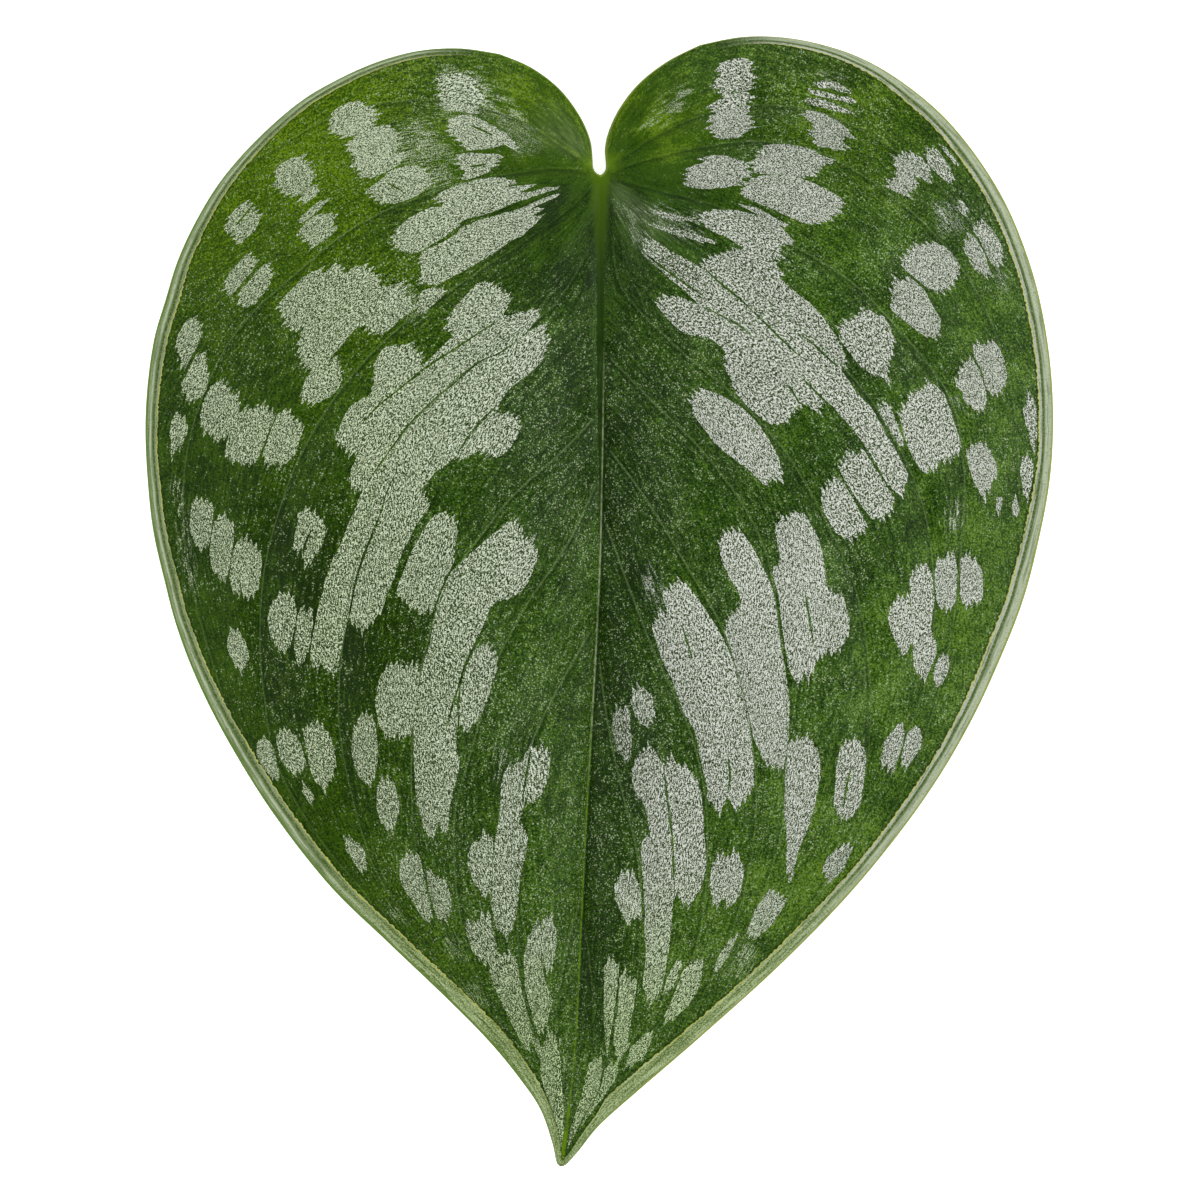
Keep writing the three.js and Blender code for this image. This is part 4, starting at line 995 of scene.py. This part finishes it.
class Finish:
    """A material and the nodes in it."""

    def __init__(self, name):
        self.material = bpy.data.materials.new(name)
        self.material.use_nodes = True
        self.tree = self.material.node_tree
        self.tree.nodes.clear()

    def node(self, kind, settings, sockets, output=0):
        made = self.tree.nodes.new(kind)
        for name, value in settings.items():
            setattr(made, name, value)
        for name, value in sockets.items():
            if isinstance(value, Value):
                self.tree.links.new(value.socket, made.inputs[name])
            else:
                made.inputs[name].default_value = value
        return Value(self, made.outputs[output]) if made.outputs else made

    def kept(self, name):
        return self.node("ShaderNodeAttribute", {"attribute_name": name}, {}, "Fac")

    def place(self):
        return self.node("ShaderNodeTexCoord", {}, {}, "Object")

    def noise(self, where, scale, detail=2.0, roughness=0.5):
        return self.node("ShaderNodeTexNoise", {}, {
            "Vector": where, "Scale": scale, "Detail": detail, "Roughness": roughness})

    def vector(self, x, y, z=0.0):
        return self.node("ShaderNodeCombineXYZ", {}, {"X": x, "Y": y, "Z": z})

    def ramp(self, value, low, high, bottom=0.0, top=1.0):
        """From bottom to top as value goes from low to high, smoothly."""
        return self.node("ShaderNodeMapRange", {"interpolation_type": "SMOOTHSTEP"}, {
            "Value": value, "From Min": low, "From Max": high, "To Min": bottom, "To Max": top})

    def mix(self, share, first, second, blend="MIX"):
        return self.node("ShaderNodeMix", {"data_type": "RGBA", "blend_type": blend}, {
            "Factor": share, 6: first, 7: second}, 2)

    def three(self, value, low, middle, high):
        """From one colour through a second at a half to a third at one."""
        lower = self.mix(self.ramp(value, 0.0, 0.5), low, middle)
        return self.mix(self.ramp(value, 0.5, 1.0), lower, high)

    def surface(self, sockets):
        shader = self.node("ShaderNodeBsdfPrincipled", {}, sockets)
        self.node("ShaderNodeOutputMaterial", {}, {"Surface": shader})


LIGHT_LEVEL = 1.5   # how much brighter than a white surface should be the light makes it


def paint(red, green, blue):
    """A colour as the camera sees it, 0 to 255, as the colour of a surface in this light."""
    seen = [value / 255 for value in (red, green, blue)]
    linear = [v / 12.92 if v <= 0.04045 else ((v + 0.055) / 1.055) ** 2.4 for v in seen]
    return (*[v / LIGHT_LEVEL for v in linear], 1.0)


DEEP_GREEN, LEAF_GREEN, PALE_GREEN = paint(16, 40, 1), paint(50, 82, 12), paint(102, 136, 48)
DUST_AND_RIDGE_LIGHT, DUST_LEFT, FLECK = paint(100, 132, 74), paint(98, 130, 36), paint(178, 198, 152)
SILVER_DARK, SILVER_MIDDLE, SILVER_LIGHT = paint(44, 62, 26), paint(139, 152, 121), paint(231, 235, 226)
SAGE = paint(128, 148, 100)
EDGE_LEFT, EDGE_RIGHT = paint(102, 136, 44), paint(144, 160, 62)
BAND_LEFT_GREEN, BAND_RIGHT_GREEN = paint(138, 157, 110), paint(176, 187, 156)
HOLLOW, HOLLOW_PALE, STREAK = paint(70, 94, 38), paint(118, 138, 84), paint(196, 206, 176)
STRIP_LEFT, STRIP_RIGHT, BAND_LIMIT = paint(150, 164, 130), paint(194, 200, 186), paint(190, 196, 96)
TIP_DARK, TIP_GREEN, TIP_PALE = paint(70, 96, 34), paint(126, 149, 86), paint(186, 202, 150)
VEIN_PALE, MIDRIB_DARK, MIDRIB_PALE = paint(104, 130, 74), paint(32, 58, 4), paint(152, 168, 124)
OLIVE, LIME = paint(70, 100, 6), paint(98, 134, 10)
LESS_BLUE, YELLOWER = (1.0, 1.0, 0.5, 1.0), (1.12, 1.06, 0.35, 1.0)
GREENER, GREENER_AT_TIP = (0.9, 0.985, 0.76, 1.0), (0.93, 1.0, 0.82, 1.0)

# How fine each pattern is: noise to a metre of leaf
CROWDS, CLOUDS, BEADS, CLUMPS, SERRATION = 160.0, 260.0, 1700.0, 2600.0, 3000.0
GRAIN, SPECKS, DUSTING, SILVER_GRAIN = 5600.0, 5600.0, 8600.0, 9500.0

# How strongly each pattern, and the painted light and shade, move the green and the silver from dark to light
GREEN_LEVEL, TONE_AND_PAINTED_LIGHT_STRENGTH, CLOUDINESS, GRAININESS, STREAKINESS = 0.375, 1.4, 0.8, 2.9, 0.9
RAYS, PAINTED_SHEEN_STRENGTH, SHADE = 1.2, 0.07, 0.24
BASE_SMOOTHNESS, LEFT_SMOOTHNESS = 2.0, 1.3
SILVER_LEVEL, SILVER_GRAININESS, SILVER_CELLS, SILVER_CLOUDS = 0.47, 5.0, 4.0, 0.3

top = Finish("leaf_upper_face")
where = top.place()
x_place = top.node("ShaderNodeSeparateXYZ", {}, {"Vector": where}, "X") * 1000
y_place = top.node("ShaderNodeSeparateXYZ", {}, {"Vector": where}, "Y") * 1000
across, run = top.kept("across"), top.kept("run")
vein_gap, vein_side, vein_run = top.kept("vein_gap"), top.kept("vein"), top.kept("vein_run")
midrib_side, edge, band = top.kept("midrib"), top.kept("edge"), top.kept("band")
midrib_gap = midrib_side.math("ABSOLUTE")
tone_and_painted_light, yellow, silver_shift_and_painted_light = top.kept("tone_and_painted_light"), top.kept("yellow"), top.kept("silver_shift_and_painted_light")

# distance from the stalk's place, and the turn round it: 0 towards the tip, + to the right
base_x, base_y, base_z = base[0], base[1] + 0.6, 3.0
from_base = top.node("ShaderNodeVectorMath", {"operation": "DISTANCE"}, {
    0: where, 1: (base_x * MM, base_y * MM, base_z * MM)}, "Value") * 1000
turn = (x_place - base_x).math("ARCTAN2", base_y - y_place)
rays = top.noise(top.vector(turn * 3.0, from_base * 0.12), 1.0, 3.0, 0.6)

cloud = top.noise(where, CLOUDS, 4.0, 0.65)
grain = top.noise(where, GRAIN, 2.0, 0.7)
streak = top.noise(top.vector(across * 2.0, run * 0.6), 1.0, 3.0, 0.65)
streak = 0.5 + (streak - 0.5) * top.ramp(midrib_gap, 0.3, 0.8)

# painted shade darkens the blade right of the midrib and a painted sheen lightens it left of the midrib; it
# is smooth near its base
near_base = top.ramp(from_base, 18.0, 5.0)
shade = top.ramp(midrib_side, 0.0, 0.25) * top.ramp(midrib_side, 6.5, 2.5)
shade = shade * top.ramp(y_place, 14.0, 6.0) * top.ramp(y_place, -42.0, -32.0)
painted_sheen = top.ramp(midrib_side, 0.0, -0.3) * top.ramp(midrib_side, -7.0, -3.0)
painted_sheen = painted_sheen * top.ramp(y_place, 12.0, 2.0) * top.ramp(y_place, -40.0, -28.0)
rightward = top.ramp(x_place, 4.0, 20.0)
calm = top.ramp(x_place, -12.0, -30.0) * top.ramp(y_place, 30.0, 10.0, 0.4, 1.0)
graininess = GRAININESS - near_base * BASE_SMOOTHNESS - calm * LEFT_SMOOTHNESS
level = GREEN_LEVEL + tone_and_painted_light * TONE_AND_PAINTED_LIGHT_STRENGTH + (cloud - 0.5) * (CLOUDINESS + rightward * 0.7)
level = level + (grain - 0.5) * graininess + (streak - 0.5) * STREAKINESS
level = level + (rays - 0.5) * near_base * RAYS + painted_sheen * PAINTED_SHEEN_STRENGTH - shade * SHADE
green = top.three(level, DEEP_GREEN, LEAF_GREEN, PALE_GREEN)

# pale specks, thickest in streams along the veins and near the midrib
crowding = top.noise(where, CROWDS, 2.0)
stream = (crowding - 0.5) * 0.3 + (streak - 0.5) * 0.5 + top.ramp(midrib_gap, 24.0, 4.0) * 0.03
stream = stream - calm * 0.03 - near_base * 0.09 - top.ramp(edge, 4.0, 1.5) * 0.02 - shade * 0.03
leftward = top.ramp(x_place, 14.0, -8.0, 0.35, 1.0) * (1 - painted_sheen * 0.6)
yellowed = top.ramp(yellow, 0.0, 0.45)
green = top.mix(leftward, green, LESS_BLUE, "MULTIPLY")
green = top.mix(yellowed, green, YELLOWER, "MULTIPLY")
dusting = top.ramp(top.noise(where, DUSTING, 2.0, 0.7) + stream * 0.6, 0.5, 0.72)
dusting = dusting * (1 - shade * 0.5) * (1 - calm * 0.4)
dust = top.mix(calm.math("MAXIMUM", yellowed), DUST_AND_RIDGE_LIGHT, DUST_LEFT)
green = top.mix(dusting * (0.46 + rightward * 0.14), green, dust)
dots = top.node("ShaderNodeTexVoronoi", {}, {"Vector": where, "Scale": SPECKS}, "Distance")
flecks = top.ramp(dots, 0.44, 0.2) * top.ramp(top.noise(where, CLUMPS, 2.0, 0.7) + stream * 1.2, 0.48, 0.64)
green = top.mix(flecks * (0.85 - near_base * 0.55), green, FLECK)

# silver: a fine bright grain over cells that are longer along the veins
silver_cells = top.noise(top.vector(across * 6.5, run * 4.0), 1.0, 1.0)
silver_grain = top.noise(where, SILVER_GRAIN, 1.0, 0.7)
silver_level = SILVER_LEVEL + silver_shift_and_painted_light + (silver_grain - 0.5) * SILVER_GRAININESS
silver_level = silver_level + (silver_cells - 0.5) * SILVER_CELLS + (cloud - 0.5) * SILVER_CLOUDS
silver_colour = top.three(silver_level, SILVER_DARK, SILVER_MIDDLE, SILVER_LIGHT)
greenish = top.ramp(x_place, 8.0, -25.0).math("MAXIMUM", top.ramp(y_place, -20.0, -40.0))
silver_colour = top.mix(greenish, silver_colour, GREENER, "MULTIPLY")
silver_colour = top.mix(top.ramp(y_place, -22.0, -38.0), silver_colour, GREENER_AT_TIP, "MULTIPLY")
faint = top.kept("faint")
broken = top.ramp(silver_grain * 0.4 + streak * 0.7 + faint * 0.12, 0.64, 0.74)
broken = broken * top.ramp(faint, 0.05, 0.6) * (0.8 - near_base * 0.4)
silver = top.kept("silver").math("MAXIMUM", broken)
colour = top.mix(silver, green, silver_colour)

# side veins: a pale line with painted shade on its tipward side, and a green line across the silver
vein_width = 0.07 - vein_run * 0.035
vein_line = top.ramp(vein_gap, vein_width * 1.7, vein_width * 0.6) * top.ramp(midrib_gap, 0.2, 0.6)
vein_line = vein_line * top.ramp(from_base, 5.0, 24.0, 0.1, 1.0) * top.ramp(grain, 0.25, 0.5, 0.35, 1.0)
vein_line = vein_line * top.ramp(y_place, -34.0, -24.0, 0.3, 1.0)
painted_vein_shade = top.ramp(vein_side, 0.05, 0.2) * top.ramp(vein_gap, 0.55, 0.2)
colour = top.mix(painted_vein_shade * 0.55 * (1 - vein_run * 0.5) * (1 - silver), colour, DEEP_GREEN)
colour = top.mix(vein_line * 0.5 * (1 - vein_run * 0.5), colour, top.mix(silver, VEIN_PALE, LEAF_GREEN))

# midrib: a dark groove near the notch and a thin pale line further on, lime towards the tip
groove_width = top.ramp(y_place, 4.0, 16.0, 0.08, 0.26) + top.ramp(y_place, 28.0, 37.0, 0.0, 0.3)
groove_colour = top.mix(top.ramp(y_place, 27.0, 38.0), MIDRIB_DARK, OLIVE)
soft = top.ramp(y_place, 24.0, 34.0, 0.05, 0.45)
groove = top.ramp(midrib_gap, groove_width + soft, groove_width - soft * 0.4)
# painted light on the groove's left wall: a pale band broken by the grain
painted_ridge_light = top.ramp(midrib_side, 0.05 - groove_width, -0.1 - groove_width)
painted_ridge_light = painted_ridge_light * top.ramp(midrib_side, -0.9 - groove_width, 0 - groove_width)
painted_ridge_light = painted_ridge_light * top.ramp(y_place, 2.0, 16.0) * top.ramp(y_place, 32.0, 26.0) * top.ramp(grain, 0.3, 0.6)
colour = top.mix(painted_ridge_light * 0.35, colour, DUST_AND_RIDGE_LIGHT)
colour = top.mix(groove * top.ramp(y_place, 0.0, 6.0) * 0.9, colour, groove_colour)
line_colour = top.mix(top.ramp(y_place, -4.0, -18.0), MIDRIB_PALE, LIME)
line_width = 0.06 + top.ramp(y_place, -43.0, -47.5) * 0.1
line_at = top.ramp(y_place, 8.0, 22.0, 0.0, 0.3)
line = top.ramp((midrib_side - line_at).math("ABSOLUTE"), line_width * 1.7, line_width * 0.6)
beads = top.ramp(top.noise(where, BEADS, 1.0), 0.4, 0.58, 0.4, 0.95)
colour = top.mix(line * top.ramp(y_place, 24.0, 14.0) * beads, colour, line_colour)
right_of_line = top.ramp((midrib_side - line_at - 0.2).math("ABSOLUTE"), 0.16, 0.04)
right_of_line = right_of_line * top.ramp(y_place, 22.0, 12.0) * top.ramp(y_place, -40.0, -34.0)
colour = top.mix(right_of_line * 0.5, colour, DEEP_GREEN)

# the stalk's place: a lime fan beside the notch with one pale glint, and a dull sheen on either side
uneven = from_base * (0.2 + rays * 2.0)
fan = top.ramp(uneven, 3.0, 0.2)
fan = fan * top.ramp((turn.math("ABSOLUTE") - 2.4).math("ABSOLUTE"), 1.5, 0.4, 0.25, 1.0)
colour = top.mix(fan, colour, LIME)
glint = top.ramp(uneven, 1.6, 0.3) * top.ramp((turn + 2.25).math("ABSOLUTE"), 0.5, 0.15)
colour = top.mix(glint * 0.6, colour, BAND_LIMIT)
right_sheen = top.ramp((turn - 0.65).math("ABSOLUTE"), 0.42, 0.1) * top.ramp(from_base, 11.0, 5.0)
left_sheen = top.ramp((turn + 2.3).math("ABSOLUTE"), 0.5, 0.1) * top.ramp(from_base, 9.0, 4.0)
sheen = right_sheen.math("MAXIMUM", left_sheen) * top.ramp(from_base, 0.8, 3.0)
sheen = sheen * top.ramp(streak, 0.3, 0.6, 0.4, 1.0)
colour = top.mix(sheen * 0.27, colour, SAGE)

# margin: an olive rim, a smooth pale band, a green hollow, a silvery strip and a thin yellow limit
along_edge = top.noise(top.vector(edge * 7.0, x_place * 0.3, y_place * 0.3), 1.0, 2.0, 0.6)
serration = top.noise(where, SERRATION, 1.0)
ragged = edge + (serration - 0.5) * 0.25 + (cloud - 0.5) * 0.12
wander = edge + (cloud - 0.5) * 0.16
side = top.ramp(x_place, -12.0, 12.0)
band_colour = top.mix(side, BAND_LEFT_GREEN, BAND_RIGHT_GREEN)
crest = top.ramp((wander - 0.4).math("ABSOLUTE"), 0.1, 0.03) * (0.75 - side * 0.5)
band_colour = top.mix(crest, band_colour, STREAK)
band_colour = top.mix(top.ramp(along_edge, 0.47, 0.38, 0.0, 0.45), band_colour, HOLLOW)
band_colour = top.mix(top.ramp(along_edge, 0.53, 0.62, 0.0, 0.35), band_colour, STREAK)
band_colour = top.mix(top.ramp(grain, 0.47, 0.3, 0.0, 0.55), band_colour, HOLLOW)
hollow = top.mix(top.ramp(grain, 0.46, 0.64), HOLLOW, HOLLOW_PALE)
band_colour = top.mix(top.ramp(wander + (grain - 0.5) * 0.3, 0.48, 0.6), band_colour, hollow)
silvery = top.ramp(wander, 0.7, 0.76) * top.ramp(along_edge, 0.34, 0.5, 0.3, 1.0)
silvery = silvery * top.ramp(grain, 0.3, 0.5, 0.4, 1.0)
band_colour = top.mix(silvery * 0.85, band_colour, top.mix(side, STRIP_LEFT, STRIP_RIGHT))
tip_level = 0.5 + (silver_grain - 0.5) * 2.8 + (along_edge - 0.5) * 2.4 + (grain - 0.5) * 1.4
tip_colour = top.three(tip_level, TIP_DARK, TIP_GREEN, TIP_PALE)
near_tip = top.ramp(y_place, -18.0, -34.0) * top.ramp(edge, 0.1, 0.25, 0.5, 0.85)
band_colour = top.mix(near_tip, band_colour, tip_colour)
limit = top.ramp(ragged, 0.86, 0.9) * top.ramp(y_place, -46.0, -36.0, 0.3, 1.0)
limit = limit * top.ramp(along_edge, 0.35, 0.5, 0.5, 1.0)
band_colour = top.mix(limit * 0.85, band_colour, BAND_LIMIT)
# painted shadow: dark green just inside the inner limit of the pale band
colour = top.mix(top.ramp(ragged, 1.14, 1.0, 0.0, 0.6) * band, colour, DEEP_GREEN)
colour = top.mix(top.ramp(ragged, 0.98, 0.94) * band, colour, band_colour)
rim = top.ramp(edge, 0.22 - side * 0.06, 0.08, 0.0, 0.95)
colour = top.mix(rim, colour, top.mix(side, EDGE_LEFT, EDGE_RIGHT))

height = grain * 0.6 + (silver_grain * 0.6 + silver_cells * 0.8) * silver + streak * 0.4
normal = top.node("ShaderNodeBump", {}, {"Strength": 0.3, "Distance": 0.00008, "Height": height})
top.surface({"Base Color": colour, "Roughness": top.ramp(silver, 0.0, 1.0, 0.37, 0.35), "Normal": normal,
             "Specular IOR Level": 0.05})

under = Finish("leaf_underside")
UNDER_GREEN, UNDER_LIGHT = paint(112, 136, 84), paint(150, 168, 120)
UNDER_VEIN = paint(168, 184, 136)
where = under.place()
cloud, grain = under.noise(where, 220.0, 3.0), under.noise(where, 2600.0, 3.0, 0.6)
streak = under.noise(under.vector(under.kept("across") * 1.2, under.kept("run") * 0.4), 1.0, 2.0)
level = 0.35 + (cloud - 0.5) * 0.8 + (grain - 0.5) * 0.9 + (streak - 0.5) * 0.6
colour = under.mix(level, UNDER_GREEN, UNDER_LIGHT)
raised = under.ramp(under.kept("vein_gap"), 0.7, 0.15, 0.0, 0.75) * (1 - under.kept("vein_run") * 0.6)
colour = under.mix(raised, colour, UNDER_VEIN)
colour = under.mix(under.ramp(under.kept("midrib").math("ABSOLUTE"), 1.6, 0.6, 0.0, 0.85), colour, UNDER_VEIN)
normal = under.node("ShaderNodeBump", {}, {"Strength": 0.3, "Distance": 0.0001, "Height": grain})
under.surface({"Base Color": colour, "Roughness": 0.6, "Normal": normal, "Specular IOR Level": 0.35})

blade.data.materials.append(top.material)
blade.data.materials.append(under.material)
slots = np.zeros(len(mesh.polygons), dtype=np.int32)
slots[len(upper_faces):len(upper_faces) + len(lower_faces)] = 1
mesh.polygons.foreach_set("material_index", slots)

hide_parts("leaf")
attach(blade, "root")

# The table that the leaf lies on, the light and the camera.
# A plain pale surface under an even white studio light, a little stronger from the right, seen from
# straight above through a long lens.
FLOOR_SIDE = 3.0
bpy.ops.object.select_all(action="DESELECT")
bpy.ops.mesh.primitive_plane_add(size=FLOOR_SIDE)
floor = bpy.context.active_object
floor.name = "floor"
paper = Finish("pale_floor")
paper.surface({"Base Color": (0.94, 0.94, 0.94, 1.0), "Roughness": 0.9, "Specular IOR Level": 0.1,
               "Emission Color": (1.0, 1.0, 1.0, 1.0), "Emission Strength": 0.6})
floor.data.materials.append(paper.material)

world = bpy.data.worlds.new("even_light")
world.use_nodes = True
world.node_tree.nodes["Background"].inputs["Color"].default_value = (1.0, 1.0, 1.0, 1.0)
world.node_tree.nodes["Background"].inputs["Strength"].default_value = 0.35
bpy.context.scene.world = world


def soft_light(name, place, side, watts):
    lamp = bpy.data.lights.new(name, "AREA")
    lamp.shape, lamp.size, lamp.energy = "SQUARE", side, watts
    made = bpy.data.objects.new(name, lamp)
    made.location = place
    made.rotation_euler = (-Vector(place)).to_track_quat("-Z", "Y").to_euler()
    bpy.context.collection.objects.link(made)


SOFTBOX_SIDE, AWAY, MAIN_WATTS, FAR_WATTS, SIDE_WATTS = 0.7, 0.75, 6.5, 5.0, 3.6
soft_light("softbox_right", (AWAY, 0.1, AWAY), SOFTBOX_SIDE, MAIN_WATTS)
soft_light("softbox_far", (0.0, AWAY, AWAY), SOFTBOX_SIDE, FAR_WATTS)
soft_light("softbox_left", (-AWAY, 0.0, AWAY), SOFTBOX_SIDE, SIDE_WATTS)
soft_light("softbox_near", (0.0, -AWAY, AWAY), SOFTBOX_SIDE, SIDE_WATTS)

IMAGE_PIXELS = 1200
LENS, SENSOR = 200.0, 36.0
SEEN_AT_HEIGHT = 0.6
distance_up = IMAGE_PIXELS * PIXEL_SIZE * LENS / SENSOR + SEEN_AT_HEIGHT
look_at = on_leaf([(IMAGE_PIXELS / 2, IMAGE_PIXELS / 2)])[0]
eye = bpy.data.cameras.new("camera")
eye.lens, eye.sensor_width = LENS, SENSOR
eye.clip_start, eye.clip_end = 0.01, 20.0
camera = bpy.data.objects.new("camera", eye)
camera.location = (look_at[0] * MM, look_at[1] * MM, distance_up * MM)
bpy.context.collection.objects.link(camera)
bpy.context.scene.camera = camera
bpy.context.scene.view_settings.view_transform = "Standard"
